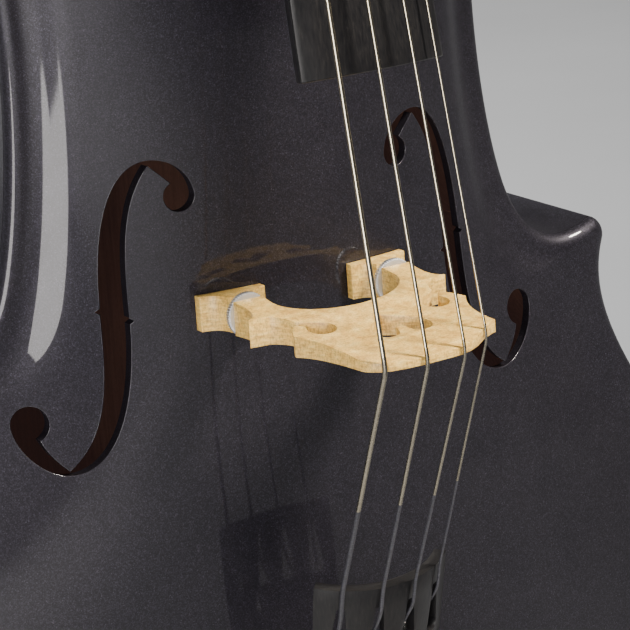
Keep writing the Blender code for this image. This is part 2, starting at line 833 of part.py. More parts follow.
def bridge_side(crown, sign):
    """The outline (x, n) of one side, from the middle of the arch to the given crown points."""
    points = [(0, 37.4)]
    points += bezier((3.5, 37.3), (14.0, 36.8), (25.4, 30.5), (26.3, 21.5), 5)
    points += [(26.3, 21.5), (25.7, LEG_BOTTOM), (37.8, LEG_BOTTOM)]
    points += bezier((37.4, 16.5), (36.4, 23.0), (37.6, 28.2), (42.0, 30.3), 4)
    points += [(42.0, 30.3), (34.2, 31.8)]
    points += bezier((34.0, 32.2), (31.0, 34.5), (30.0, 37.0), (29.3, 39.8), 2)
    points += [(29.3, 39.8), (24.5, 43.0)]
    points += arc((24.0, 50.0), 5.4, 215, -35, 7)
    points += [(28.6, 46.4), (28.9, 44.3), (31.4, 43.4), (36.4, 51.3)]
    points += bezier((36.3, 51.6), (31.0, 58.5), (30.0, 66.0), crown[0], 4)
    points += crown
    return [(sign * x, n) for x, n in points]


def heart():
    right = [(0, 49.5)]
    right += bezier((1.0, 50.6), (5.0, 55.0), (12.6, 59.5), (11.9, 65.0), 4)
    right += bezier((11.9, 65.0), (11.4, 70.6), (4.2, 71.2), (2.6, 67.0), 4)
    right += [(2.6, 67.0), (1.2, 62.0)]
    return right + [(-x, n) for x, n in reversed(right[1:])]


BASS_CROWN = [(28.6, 82.6), (26.9, 85.4), (24.0, 88.3), (18.0, 90.2), (8.0, 91.0)]
TREBLE_CROWN = [(32.0, 75.8), (29.6, 77.0), (24.0, 80.3), (17.5, 85.6), (8.0, 90.4)]


def make_bridge():
    treble = bridge_side(TREBLE_CROWN, 1)
    bass = bridge_side(BASS_CROWN, -1)
    outline = treble + list(reversed(bass[1:]))
    depth = 40.0
    place = Matrix.Translation((0, 0, 0))
    bridge = slab("bridge", outline, place, depth, MAPLE, holes=(heart(),))
    for vertex in bridge.data.vertices:
        x, n, side = vertex.co
        z = BRIDGE_TAIL_FACE
        if side > 0:
            z += bridge_thickness(n / MM)
        vertex.co = world(x / MM, z, n / MM)
    face_outwards(bridge.data)
    for sign in (-1, 1):
        size, top = STUD_RADIUS + BORE_GAP, STUD_SPAN[1] + 0.6
        hole = round_bar(f"leg_bore_{sign}", size, 0, top, stud_frame(sign), None, 16, True)
        cut(bridge, hole)


def stud_frame(sign):
    """On the belly's n = 0 under a leg, with local Z out of the belly."""
    middle = BRIDGE_TAIL_FACE + FOOT_THICKNESS / 2
    return axes(world(sign * LEG_MIDDLE, middle, 0), (1, 0, 0), (0, -1, 0))


def foot_outline():
    inner, outer = BRIDGE_FOOT_SPAN
    points = []
    for i in range(5):
        x = inner + (outer - inner) * i / 4
        points.append((x, belly_height(x, 0) + GAP))
    toe = points[-1][1] + 3.7
    outer_top = (outer - 7.6, FOOT_TOP)
    points += bezier((outer, toe), (outer - 5.0, toe + 0.4), (outer - 7.4, toe + 3.0), outer_top, 4)
    points += [(outer - 7.6, FOOT_TOP), (inner + 7.8, FOOT_TOP)]
    heel = points[0][1] + 3.5
    inner_top = (inner + 7.6, FOOT_TOP - 0.5)
    points += bezier(inner_top, (inner + 7.0, heel + 2.4), (inner + 5.0, heel + 0.5), (inner, heel), 4)
    points += [(inner, heel)]
    return points


def make_feet_and_wheels():
    for name, sign in (("bass", -1), ("treble", 1)):
        outline = [(sign * x, n) for x, n in foot_outline()]
        middle = BRIDGE_TAIL_FACE + FOOT_THICKNESS / 2
        place = axes(world(0, middle, 0), (1, 0, 0), (0, 0, -1))
        foot = slab(f"bridge_foot_{name}", outline, place, FOOT_THICKNESS, MAPLE)
        size, low = STUD_RADIUS + BORE_GAP, STUD_SPAN[0] - 1.6
        bore = round_bar(f"foot_bore_{name}", size, low, 20, stud_frame(sign), None, 16, True)
        cut(foot, bore)
        make_wheel(name, sign)


def make_wheel(name, sign):
    low, high = WHEEL_SPAN
    rim = []
    for i in range(2 * WHEEL_TEETH):
        radius = WHEEL_RADIUS - (0.45 if i % 2 else 0)
        angle = math.pi * i / WHEEL_TEETH
        rim.append((radius * math.cos(angle), radius * math.sin(angle)))
    place = stud_frame(sign) @ Matrix.Translation((0, 0, (low + high) / 2 * MM))
    wheel = slab(f"thumbwheel_{name}", rim, place, high - low, ALUMINIUM)
    stud = round_bar(f"stud_{name}", STUD_RADIUS, *STUD_SPAN, stud_frame(sign), None, 16, True)
    join(wheel, stud)


# ---------------------------------------------------------------- tailpiece and fine tuners


def tail_point(v, lift=0.0, x=0.0):
    """v down the tailpiece from its upper end, lift out of its top line."""
    z = TAIL_TOP[0] - v * math.cos(TAIL_SLOPE) - lift * math.sin(TAIL_SLOPE)
    n = TAIL_TOP[1] - v * math.sin(TAIL_SLOPE) + lift * math.cos(TAIL_SLOPE)
    return world(x, z, n)


def tail_radius(v):
    return TAIL_RADIUS + 14 * v / TAIL_LENGTH


def tail_half_width(v):
    return 29.0 - 12.0 * smooth(v / TAIL_LENGTH) ** 0.8


def tail_surface(x, v):
    """The point on the tailpiece's outer surface and its outward direction."""
    radius = tail_radius(v)
    drop = radius - math.sqrt(radius * radius - x * x)
    point = tail_point(v, -drop, x)
    out = point - tail_point(v, -radius, 0)
    return point, out.normalized()


def tail_section(v, shell=TAIL_SHELL, lift=0.0, share=1.0):
    """An arched section, its outer face lowered by lift and its width scaled by share."""
    half = tail_half_width(v) * share
    radius = tail_radius(v)
    outer, inner = [], []
    for k in range(-5, 6):
        angle = math.asin(half / radius) * k / 5
        for side, reach in ((outer, radius - lift), (inner, radius - shell)):
            side.append((reach * math.sin(angle), reach * math.cos(angle) - radius))
    return [tail_point(v, height, x) for x, height in outer + inner[::-1]]


def teardrop():
    """A string hole, round at the low end and pointed towards the bridge, in (across, down)."""
    centre, radius = SLOT_PLACE + 4, 3.6
    turns = [math.radians(-115 + 230 * i / 8) for i in range(9)]
    points = [(centre + radius * math.cos(a), radius * math.sin(a)) for a in turns]
    return [(y, -x) for x, y in points] + [(1.5, -(SLOT_PLACE - 14)), (-1.5, -(SLOT_PLACE - 14))]


def tuner_frame(x, v):
    """On the tailpiece's surface: local Z out of it and local Y up towards the bridge."""
    point, out = tail_surface(x, v)
    up = (tail_point(0) - tail_point(10)).normalized()
    across = up.cross(out)
    return axes(point, across, out)


def make_tailpiece():
    tailpiece = loft("tailpiece", [tail_section(v) for v in (0, 12, 60, 120, 180, 224, TAIL_LENGTH)], EBONY)
    web = [tail_section(v, WEB_DEPTH, 2.0, 0.92) for v in WEB_SPAN]
    join(tailpiece, loft("tuner_web", web, None, True))
    for k, name in enumerate(STRING_NAMES):
        hole_place = tuner_frame((k - 1.5) * TAIL_SPACING, 0)
        hole = slab(f"string_hole_{name}", teardrop(), hole_place, 30, None, True)
        place = tuner_frame((k - 1.5) * TUNER_SPACING, TUNER_PLACE)
        screw_hole = round_bar(f"tuner_hole_{name}", 2.3, -9, 6, place, None, 16, True)
        low = TUNER_PLACE - WEB_SPAN[1] - 3
        high = TUNER_PLACE - WEB_SPAN[0] + 3
        slot = [(-2.6, low), (2.6, low), (2.6, high), (-2.6, high)]
        slot_place = place @ Matrix.Translation((0, 0, -14.7 * MM))
        lever_slot = slab(f"lever_slot_{name}", slot, slot_place, 10.4, None, True)
        axle = lever_axle(place)
        pin_hole = round_bar(f"pin_hole_{name}", 1.2, -4.2, 4.2, axle, None, 12, True)
        cut(tailpiece, hole, screw_hole, lever_slot, pin_hole)
        make_tuner(name, place)
    for sign in (-1, 1):
        out = tail_point(0, 1) - tail_point(0)
        place = axes(tail_point(TAIL_LENGTH - 12, -4.0, sign * 6.0), (1, 0, 0), out)
        cut(tailpiece, round_bar(f"cord_hole_{sign}", 2.2, -20, 20, place, None, 12, True))


def lever_axle(place):
    """On a tuner lever's pivot, with local Z along its pin."""
    shift = Matrix.Translation((0, PIVOT_OFFSET * MM, LEVER_DEPTH * MM))
    return place @ shift @ Matrix.Rotation(math.pi / 2, 4, "Y")


def make_tuner(name, place):
    head = [(0, 9.5), (3.6, 9.5), (4.4, 8.7), (4.4, 2.6), (3.0, 1.8), (2.0, 1.2), (2.0, -9.0), (0, -9.8)]
    turned(f"tuner_screw_{name}", head, place, STEEL, 12)
    half = [(2.0, -PIVOT_OFFSET - 3), (2.0, 6.0), (2.6, 7.5), (2.6, 12.0), (1.3, 12.0), (1.3, 7.0)]
    axle = lever_axle(place)
    pivot = axle @ Matrix.Rotation(-math.pi / 2, 4, "Y")
    lever = slab(f"tuner_lever_{name}", half + other_side(half), pivot, 3.6, STEEL)
    cut(lever, round_bar(f"lever_bore_{name}", 1.25, -8, 8, axle, None, 12, True))
    round_bar(f"tuner_pin_{name}", 1.0, -4.0, 4.0, axle, STEEL, 12)


def make_tail_cord():
    points = []
    low = TAIL_LENGTH
    for sign in (-1, 1):
        strand = [
            tail_point(low - 12, -0.6, sign * 6.0),
            tail_point(low - 12, -7.4, sign * 6.0),
            tail_point(low - 1, -7.6, sign * 6.0),
            world(sign * 6.0, -346.4, -10.7),
            world(sign * 6.0, -354, -11.0),
            world(sign * 6.0, -358.4, -15.0),
            from_middle(sign * 8.0, -359.6, -54),
            from_middle(sign * 13.6, -359.6, -6),
            from_middle(sign * LOOP_RADIUS, -359.6, 0),
        ]
        points.append(strand)
    around = []
    for i in range(1, 8):
        angle = math.pi + math.pi * i / 8
        around.append(from_middle(LOOP_RADIUS * math.cos(angle), -359.6, -LOOP_RADIUS * math.sin(angle)))
    tube("tail_cord", points[0] + around + points[1][::-1], CORD_RADIUS, CORD)


def make_saddle():
    rings = []
    for x in (-20, -14, -8, 0, 8, 14, 20):
        top = -13.0 - 5.0 * (abs(x) > 17)
        ring = [(-347, -30.0), (-355.6, -30.0), (-355.6, top - 2), (-353.6, top), (-347, top - 1.5)]
        rings.append([world(x, z, n) for z, n in ring])
    loft("saddle", rings, EBONY)


# ---------------------------------------------------------------- endpin


def make_endpin():
    place = Matrix.Translation(from_middle(0, 0, 0))
    bottom = -BODY_BELOW_BRIDGE
    inner = PLUG_HOLE - 0.6
    profile = [
        (inner - 2.5, bottom + 34),
        (inner, bottom - GAP),
        (12.0, bottom - GAP),
        (12.0, bottom - 6.4),
        (15.0, bottom - 7.2),
        (15.0, bottom - 18),
        (12.5, bottom - 20),
        (PLUG_BORE, bottom - 20),
        (PLUG_BORE, bottom + 34),
    ]
    plug = turned("endpin_plug", profile, place, EBONY)
    side = axes(from_middle(0, bottom - 12.6, 0), (0, 0, 1), (1, 0, 0))
    cut(plug, round_bar("clamp_hole", 2.3, 3, 20, side, None, 16, True))
    screw = [(0, 27), (5.0, 27), (6.2, 26), (6.2, 20), (5.0, 19)]
    screw += [(3.2, 18.4), (3.2, 16), (2.0, 15.8), (2.0, 5.8), (0, 5.3)]
    turned("endpin_screw", screw, side, STEEL, 16)
    floor = Matrix.Identity(4)
    top = PIN_OUT + PIN_INSIDE
    rod = [(0, top), (PIN_RADIUS - 0.8, top), (PIN_RADIUS, top - 0.8)]
    rod += [(PIN_RADIUS, 8.3), (0, 8.3)]
    turned("endpin_rod", rod, floor, STEEL)
    tip = [
        (PIN_RADIUS + 0.2, TIP_HEIGHT),
        (TIP_RADIUS - 1.6, TIP_HEIGHT),
        (TIP_RADIUS - 0.6, TIP_HEIGHT - 2),
        (TIP_RADIUS, 3),
        (TIP_RADIUS - 1.5, 0),
        (0, 0),
        (0, 8.0),
        (PIN_RADIUS + 0.2, 8.0),
    ]
    rubber_tip(tip, floor)


def rubber_tip(profile, place):
    """A turned cup: its profile starts and ends on the mouth, so it isn't closed by an edge."""
    outer = [(0, TIP_HEIGHT)] + profile[1:6]
    tip = turned("endpin_tip", outer, place, RUBBER)
    cut(tip, round_bar("tip_bore", PIN_RADIUS + 0.2, 8.0, TIP_HEIGHT + 5, place, None, 24, True))


# ---------------------------------------------------------------- the assembly

clear_scene()
parts = new_collection("cello")
cutters = new_collection("cutters")
BLACK = material("metallic_black", (0.022, 0.02, 0.026), 0.38, 0.3)
MAPLE = material("maple", (0.72, 0.55, 0.36), 0.55)
WOOD = material("spruce", (0.60, 0.42, 0.26), 0.7)
EBONY = material("ebony", (0.012, 0.011, 0.012), 0.35)
STEEL = material("steel", (0.62, 0.62, 0.60), 0.3, 1.0)
ALUMINIUM = material("aluminium", (0.80, 0.81, 0.83), 0.4, 1.0)
CORD = material("cord", (0.02, 0.02, 0.02), 0.6)
RUBBER = material("rubber", (0.03, 0.03, 0.03), 0.8)

make_plates()
make_ribs()
make_blocks()
make_linings()
make_bass_bar()
make_sound_post()
make_neck()
make_fingerboard()
make_nut()
make_pegs()
make_strings()
make_bridge()
make_feet_and_wheels()
make_tailpiece()
make_tail_cord()
make_saddle()
make_endpin()
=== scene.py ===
"""The looks of a full-size black cello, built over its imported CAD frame.

Sizes are in millimetres until world() turns them into metres. Most shapes are laid out in the
belly's own coordinates (x, z, n): x to the treble side, z up from the bridge line, and n out of
the belly from its highest point under the bridge.
"""

import json
import math

import bmesh
import bpy
from mathutils import Matrix, Vector

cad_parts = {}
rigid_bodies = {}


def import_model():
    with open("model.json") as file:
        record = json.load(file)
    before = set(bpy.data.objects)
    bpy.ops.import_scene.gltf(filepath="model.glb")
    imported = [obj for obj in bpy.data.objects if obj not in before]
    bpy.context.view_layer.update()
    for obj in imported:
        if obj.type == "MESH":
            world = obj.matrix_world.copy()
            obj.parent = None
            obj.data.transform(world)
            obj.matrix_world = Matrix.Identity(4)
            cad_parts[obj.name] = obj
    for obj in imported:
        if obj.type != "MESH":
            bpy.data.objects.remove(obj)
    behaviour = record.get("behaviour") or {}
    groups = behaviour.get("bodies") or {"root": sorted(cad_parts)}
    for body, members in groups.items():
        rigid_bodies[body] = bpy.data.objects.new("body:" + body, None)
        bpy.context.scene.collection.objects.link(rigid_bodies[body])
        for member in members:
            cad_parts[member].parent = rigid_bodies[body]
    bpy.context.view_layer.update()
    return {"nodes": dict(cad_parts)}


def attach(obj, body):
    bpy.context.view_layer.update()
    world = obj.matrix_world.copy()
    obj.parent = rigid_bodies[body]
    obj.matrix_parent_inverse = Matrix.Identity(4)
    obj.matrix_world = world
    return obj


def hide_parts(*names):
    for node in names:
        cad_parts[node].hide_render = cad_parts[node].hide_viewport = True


MM = 0.001
GAP = 0.3

# Body
BODY_BELOW_BRIDGE = 355.0
BODY_ABOVE_BRIDGE = 400.0
RIB_HEIGHT = 112.0
RIB_THICKNESS = 2.5
PLATE_EDGE = 5.0
EDGE_ROUNDING = 5.0
BELLY_ARCH = 25.5
BACK_ARCH = 24.0
ARCH_MIDDLE = 22.5
ARCH_HALF_LENGTH = 369.5
OUTLINE_FINENESS = 8
ARCH_RINGS = 26
EDGE_STEPS = 6

# Endpin
PIN_OUT = 300.0
PIN_INSIDE = 150.0
PIN_RADIUS = 5.0
TIP_RADIUS = 8.0
TIP_HEIGHT = 24.0
PLUG_BORE = PIN_RADIUS + 0.25
PLUG_HOLE = 12.0

# Strings, from bass to treble: radius, place at the nut, over the bridge and at the tailpiece
STRING_NAMES = ("c", "g", "d", "a")
STRING_RADII = (0.95, 0.75, 0.62, 0.5)
BRIDGE_SPACING = 16.0
NUT_SPACING = 7.5
TAIL_SPACING = 13.75
CROWN_HEIGHTS = (89.8, 92.1, 91.5, 81.4)
NUT_LINE = 686.0
NUT_HEIGHT = -50.4
NECK_SLOPE = 0.1948
SILK_LOW = -63.0
SILK_HIGH = NUT_LINE - 12.0
HEAD_SLOPE_EXTRA = math.radians(8.0)

# Fingerboard and neck
BOARD_LENGTH = 604.0
BOARD_RADIUS = 60.0
BOARD_WIDTH_NUT = 31.0
BOARD_WIDTH_END = 62.0
BOARD_TILT_END = 0.08
BOARD_DEPTH_NUT = 9.6
BOARD_DEPTH_END = 15.6
HANDLE_DEPTH = 19.5
NECK_VOXEL = 1.35

# Bridge
BRIDGE_TAIL_FACE = -5.7
BRIDGE_FOOT_SPAN = (18.6, 44.4)
FOOT_THICKNESS = 13.2
FOOT_TOP = 8.6
LEG_BOTTOM = 12.8
LEG_MIDDLE = 31.6
WHEEL_RADIUS = 8.3
WHEEL_SPAN = (9.9, 12.5)
STUD_RADIUS = 2.0
STUD_SPAN = (3.0, 23.0)
THREAD_PITCH = 0.5
BORE_GAP = 0.2

# Pegs: distance from the nut along the pegbox, and the side the head is on
PEG_PLACES = {"c": (32.0, -1), "a": (57.0, 1), "g": (86.0, -1), "d": (111.0, 1)}
PEG_AXIS_DEPTH = 14.0
PEG_SHANK = (7.0, 5.6)
PEGBOX_TAPER = 130
SCROLL_CENTRE = (-24.0, 158.0)
SCROLL_TURNS = 2.6

# Tailpiece
TAIL_TOP = (-100.0, 51.0)
TAIL_SLOPE = math.radians(13.7)
TAIL_LENGTH = 242.7
TAIL_RADIUS = 42.0
TAIL_SHELL = 4.5
SLOT_PLACE = 22.0
TUNER_PLACE = 62.0
TUNER_SPACING = 13.0
LEVER_DEPTH = -12.2
PIVOT_OFFSET = 20.0
WEB_SPAN = (37.0, 47.0)
WEB_DEPTH = 15.5
CORD_RADIUS = 1.6
CORD_OFFSET = 6.0
LOOP_RADIUS = 14.4
LOOP_PLACE = -359.6

BELLY_Y = -(RIB_HEIGHT / 2 + PLATE_EDGE + BELLY_ARCH)
STOP_Z = PIN_OUT + BODY_BELOW_BRIDGE

# Camera and light
CAMERA_PLACE = (-0.5756, -1.0547, 0.9656)
CAMERA_RIGHT = (0.84615, -0.52859, -0.06799)
CAMERA_BACK = (-0.49390, -0.82567, 0.27264)
CAMERA_FIELD = math.radians(11.33)
SKY_LIGHT = 0.09
SKY_SEEN = 0.16
MAIN_DIRECTION = (0.42, -0.46, 0.78)
MAIN_DISTANCE = 2.6
MAIN_POWER = 900.0
LEFT_DIRECTION = (-0.72, -0.69, 0.12)
LEFT_DISTANCE = 2.4
LEFT_POWER = 66.0
POOL_PLACE = (-1.5, -2.9)
POOL_HEIGHT = 3.0
POOL_POWER = 1300.0
BEHIND_POWER = 275.0
FLOOR_REACH = 14.0


# Helpers


def world(x, z, n):
    """Belly coordinates in millimetres to the part's frame in metres."""
    return Vector((x * MM, (BELLY_Y - n) * MM, (STOP_Z + z) * MM))


def from_middle(x, z, y):
    """Like world(), with y measured back from the middle of the ribs' height."""
    return Vector((x * MM, y * MM, (STOP_Z + z) * MM))


def new_object(name, mesh):
    made = bpy.data.objects.new(name, mesh)
    bpy.context.scene.collection.objects.link(made)
    return made


def mesh_object(name, points, faces):
    mesh = bpy.data.meshes.new(name)
    mesh.from_pydata([tuple(p) for p in points], [], faces)
    face_outwards(mesh)
    return new_object(name, mesh)


def face_outwards(mesh, weld=0.0):
    shape = bmesh.new()
    shape.from_mesh(mesh)
    if weld:
        bmesh.ops.remove_doubles(shape, verts=shape.verts, dist=weld)
    bmesh.ops.recalc_face_normals(shape, faces=shape.faces)
    shape.to_mesh(mesh)
    shape.free()


def bake(obj):
    """Replaces the object's mesh with its evaluated one, and drops its modifiers."""
    bpy.context.view_layer.update()
    graph = bpy.context.evaluated_depsgraph_get()
    mesh = bpy.data.meshes.new_from_object(obj.evaluated_get(graph))
    if obj.type == "MESH":
        obj.modifiers.clear()
        obj.data = mesh
        return obj
    place, name = obj.matrix_world.copy(), obj.name
    bpy.data.objects.remove(obj)
    made = new_object(name, mesh)
    made.matrix_world = place
    return made


def shade(obj, angle=35):
    obj.data.shade_smooth()
    obj.data.set_sharp_from_angle(angle=math.radians(angle))
    return obj


def bevel(obj, width, segments=2, angle=35):
    step = obj.modifiers.new("Soft edges", "BEVEL")
    step.width = width * MM
    step.segments = segments
    step.limit_method = "ANGLE"
    step.angle_limit = math.radians(angle)
    step.harden_normals = False
    return obj


def combine(target, others, operation, solver="EXACT"):
    """A Boolean of the target with each of the others, which are then removed."""
    for other in others:
        step = target.modifiers.new(operation, "BOOLEAN")
        step.operation = operation
        step.solver = solver
        step.object = other
    bake(target)
    for other in others:
        bpy.data.objects.remove(other)
    return target


def join(target, others):
    """Puts the others' meshes into the target's, overlapping as they are."""
    shape = bmesh.new()
    for part in (target, *others):
        shape.from_mesh(part.data)
    shape.to_mesh(target.data)
    shape.free()
    for other in others:
        bpy.data.objects.remove(other)


def finish_piece(obj, *looks, body="cello", angle=30, has_node=True):
    """Shades the piece, gives it its looks, ties it to its CAD body and hides its CAD node.

    With several looks, the faces' material indices already say which of them each face has.
    """
    shade(obj, angle)
    which = [face.material_index for face in obj.data.polygons]
    obj.data.materials.clear()
    for look in looks:
        obj.data.materials.append(MATS[look])
    obj.data.polygons.foreach_set("material_index", which if len(looks) > 1 else [0] * len(which))
    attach(obj, body)
    if has_node:
        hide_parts(obj.name.removeprefix("look_"))


def loft(name, rings):
    """A closed solid through rings that all have the same number of points."""
    count = len(rings[0])
    points = [p for ring in rings for p in ring]
    faces = [tuple(range(count)), tuple(range(len(points) - count, len(points)))]
    for row in range(len(rings) - 1):
        for i in range(count):
            j = (i + 1) % count
            a = row * count
            faces.append((a + i, a + j, a + count + j, a + count + i))
    return mesh_object(name, points, faces)


def slab(name, outline, place, depth, holes=()):
    """A flat outline with filled faces, extruded both ways along its local Z by half of depth."""
    curve = bpy.data.curves.new(name, "CURVE")
    curve.dimensions = "2D"
    curve.fill_mode = "BOTH"
    curve.extrude = depth / 2 * MM
    for loop in (outline, *holes):
        spline = curve.splines.new("POLY")
        spline.points.add(len(loop) - 1)
        for point, (u, v) in zip(spline.points, loop):
            point.co = (u * MM, v * MM, 0, 1)
        spline.use_cyclic_u = True
    obj = bake(new_object(name, curve))
    face_outwards(obj.data, 1e-6)
    obj.data.transform(place)
    if place.determinant() < 0:
        face_outwards(obj.data)
    return obj


def about(place, radius, angle, height):
    """A point round the place's local Z axis."""
    across, up = radius * math.cos(angle) * MM, radius * math.sin(angle) * MM
    return place @ Vector((across, up, height * MM))


def turned(name, profile, place, steps=64, knurl=None, teeth=0, depth=0.0):
    """A profile of (radius, height) points turned about the local Z axis.

    Points whose radius is over knurl are cut by teeth to the given depth.
    """
    rings = []
    count = 2 * teeth if teeth else steps
    for radius, height in profile:
        ring = []
        for i in range(count):
            r = max(radius, 0.01)
            if knurl is not None and radius > knurl and i % 2:
                r -= depth
            ring.append(about(place, r, 2 * math.pi * i / count, height))
        rings.append(ring)
    return loft(name, rings)


def drill(radius, high, low, place, steps=32):
    """A cylinder about the local Z axis, to cut a bore with."""
    return turned("drill", [(0, high), (radius, high), (radius, low), (0, low)], place, steps)


def ring_solid(name, profile, place, steps=64):
    """A closed profile turned into a ring, with no cap in its middle."""
    count = len(profile)
    points, faces = [], []
    for i in range(steps):
        angle = 2 * math.pi * i / steps
        points += [about(place, radius, angle, height) for radius, height in profile]
        for k in range(count):
            a, b = i * count + k, i * count + (k + 1) % count
            c, d = (i + 1) % steps * count + (k + 1) % count, (i + 1) % steps * count + k
            faces.append((a, b, c, d))
    return mesh_object(name, points, faces)


def tube(name, points, radius, resolution=3):
    """A round wire along a polyline of points in metres."""
    curve = bpy.data.curves.new(name, "CURVE")
    curve.dimensions = "3D"
    curve.bevel_depth = radius * MM
    curve.bevel_resolution = resolution
    curve.use_fill_caps = True
    spline = curve.splines.new("POLY")
    spline.points.add(len(points) - 1)
    for point, place in zip(spline.points, points):
        point.co = (*place, 1)
    obj = bake(new_object(name, curve))
    face_outwards(obj.data, 1e-6)
    return obj


def axes(origin, x_axis, z_axis):
    """A matrix at origin whose local X and Z point along the two given directions."""
    z_axis = Vector(z_axis).normalized()
    x_axis = Vector(x_axis).normalized()
    y_axis = z_axis.cross(x_axis)
    turn = Matrix((x_axis, y_axis, z_axis)).transposed().to_4x4()
    return Matrix.Translation(origin) @ turn


def flat_on_belly(y_middle):
    """Local X is across, local Y is up the body and local Z is out of the belly."""
    return axes(from_middle(0, 0, y_middle), (1, 0, 0), (0, -1, 0))


def bezier(start, first, second, end, steps):
    """Points along a cubic curve, without its last one."""
    found = []
    for i in range(steps):
        t = i / steps
        weights = ((1 - t) ** 3, 3 * t * (1 - t) ** 2, 3 * t * t * (1 - t), t**3)
        pulls = list(zip(weights, (start, first, second, end)))
        found.append(tuple(sum(w * p[k] for w, p in pulls) for k in (0, 1)))
    return found


def arc(centre, radius, start, end, steps):
    found = []
    for i in range(steps):
        angle = math.radians(start + (end - start) * i / steps)
        found.append((centre[0] + radius * math.cos(angle), centre[1] + radius * math.sin(angle)))
    return found


def rounded_path(points, radius, steps=5):
    """A polyline of vectors with its corners rounded, for wires and cords."""
    found = [points[0]]
    for before, corner, after in zip(points, points[1:], points[2:]):
        reach = min(radius * MM, (before - corner).length * 0.45, (after - corner).length * 0.45)
        start = corner + (before - corner).normalized() * reach
        end = corner + (after - corner).normalized() * reach
        for i in range(steps + 1):
            t = i / steps
            found.append(start * (1 - t) ** 2 + corner * (2 * t * (1 - t)) + end * t * t)
    found.append(points[-1])
    return found


def smooth(t):
    t = min(1.0, max(0.0, t))
    return t * t * (3 - 2 * t)


def curve_through(stations, at):
    """A smooth value at a place between (place, value) stations."""
    last = len(stations) - 1
    if at <= stations[0][0]:
        return stations[0][1]
    if at >= stations[last][0]:
        return stations[last][1]
    k = max(i for i in range(last) if stations[i][0] <= at)
    (z1, w1), (z2, w2) = stations[k], stations[k + 1]
    z0, w0 = stations[max(k - 1, 0)]
    z3, w3 = stations[min(k + 2, last)]
    slope1 = (w2 - w0) / (z2 - z0)
    slope2 = (w3 - w1) / (z3 - z1)
    h = z2 - z1
    t = (at - z1) / h
    from_first = (1 + 2 * t) * (1 - t) ** 2 * w1 + t * (1 - t) ** 2 * h * slope1
    return from_first + t * t * (3 - 2 * t) * w2 + t * t * (t - 1) * h * slope2


# Materials


class Look:
    """A material in the making, with short ways to add procedural nodes to it."""

    def __init__(self, name):
        self.material = bpy.data.materials.new(name)
        self.material.use_nodes = True
        self.nodes = self.material.node_tree.nodes
        self.link = self.material.node_tree.links.new
        self.shader = self.nodes["Principled BSDF"]

    def add(self, kind, **inputs):
        """A node with its inputs set by name; an underscore stands for a space."""
        made = self.nodes.new(kind)
        for key, value in inputs.items():
            made.inputs[key.replace("_", " ")].default_value = value
        return made

    def stretched(self, scale):
        """The part's own coordinates, with a scale for each axis."""
        mapping = self.add("ShaderNodeMapping", Scale=scale)
        self.link(self.nodes.new("ShaderNodeTexCoord").outputs["Object"], mapping.inputs["Vector"])
        return mapping.outputs["Vector"]

    def noise(self, vector, scale=1.0, detail=3.0, roughness=0.55):
        made = self.add("ShaderNodeTexNoise", Scale=scale, Detail=detail, Roughness=roughness)
        self.link(vector, made.inputs["Vector"])
        return made.outputs["Fac"]

    def ramp(self, value, *stops):
        """The value as a colour, between (position, colour or grey level) stops."""
        made = self.nodes.new("ShaderNodeValToRGB")
        marks = made.color_ramp.elements
        marks.remove(marks[0])
        marks[0].position = stops[0][0]
        for mark, (_, colour) in zip([marks[0]] + [marks.new(p) for p, _ in stops[1:]], stops):
            mark.color = (*colour, 1) if isinstance(colour, tuple) else (colour, colour, colour, 1)
        self.link(value, made.inputs["Fac"])
        return made.outputs["Color"]

    def multiply(self, first, second):
        mix = self.add("ShaderNodeMixRGB", Fac=1.0)
        mix.blend_type = "MULTIPLY"
        self.link(first, mix.inputs["Color1"])
        self.link(second, mix.inputs["Color2"])
        return mix.outputs["Color"]

    def bump(self, height, distance, strength, under=None):
        """Relief on the shader, on top of the relief under it."""
        made = self.add("ShaderNodeBump", Distance=distance, Strength=strength)
        self.link(height, made.inputs["Height"])
        if under:
            self.link(under, made.inputs["Normal"])
        self.link(made.outputs["Normal"], self.shader.inputs["Normal"])
        return made.outputs["Normal"]

    def set(self, **inputs):
        """Shader inputs by name, from a node's output or a value."""
        for key, value in inputs.items():
            target = self.shader.inputs[key.replace("_", " ")]
            if isinstance(value, bpy.types.NodeSocket):
                self.link(value, target)
            else:
                target.default_value = value


def metallic_black():
    """Black lacquer with fine flakes, a sharp clear coat and the faintest orange peel."""
    look = Look("black_lacquer")
    plain = look.stretched((1, 1, 1))
    flakes = look.add("ShaderNodeTexVoronoi", Scale=2600.0, Randomness=1.0)
    look.link(plain, flakes.inputs["Vector"])
    flake = flakes.outputs["Color"]
    dark, usual = (0.007, 0.006, 0.0088), (0.0115, 0.0102, 0.015)
    bright, brightest = (0.027, 0.0238, 0.035), (0.056, 0.050, 0.070)
    spark = look.ramp(flake, (0.0, dark), (0.45, usual), (0.85, bright), (1.0, brightest))
    cloud = look.ramp(look.noise(plain, 9.0, 4.0), (0.35, 0.85), (0.7, 1.12))
    rough = look.ramp(look.noise(plain, 60.0, 5.0), (0.3, 0.48), (0.75, 0.60))
    look.set(Base_Color=look.multiply(spark, cloud), Roughness=rough, Metallic=0.65)
    look.set(Coat_Weight=0.52, Coat_Roughness=0.045)
    grain = look.bump(flake, 0.00006, 0.35)
    look.bump(look.noise(plain, 420.0, 2.0), 0.00008, 0.10, grain)
    return look.material


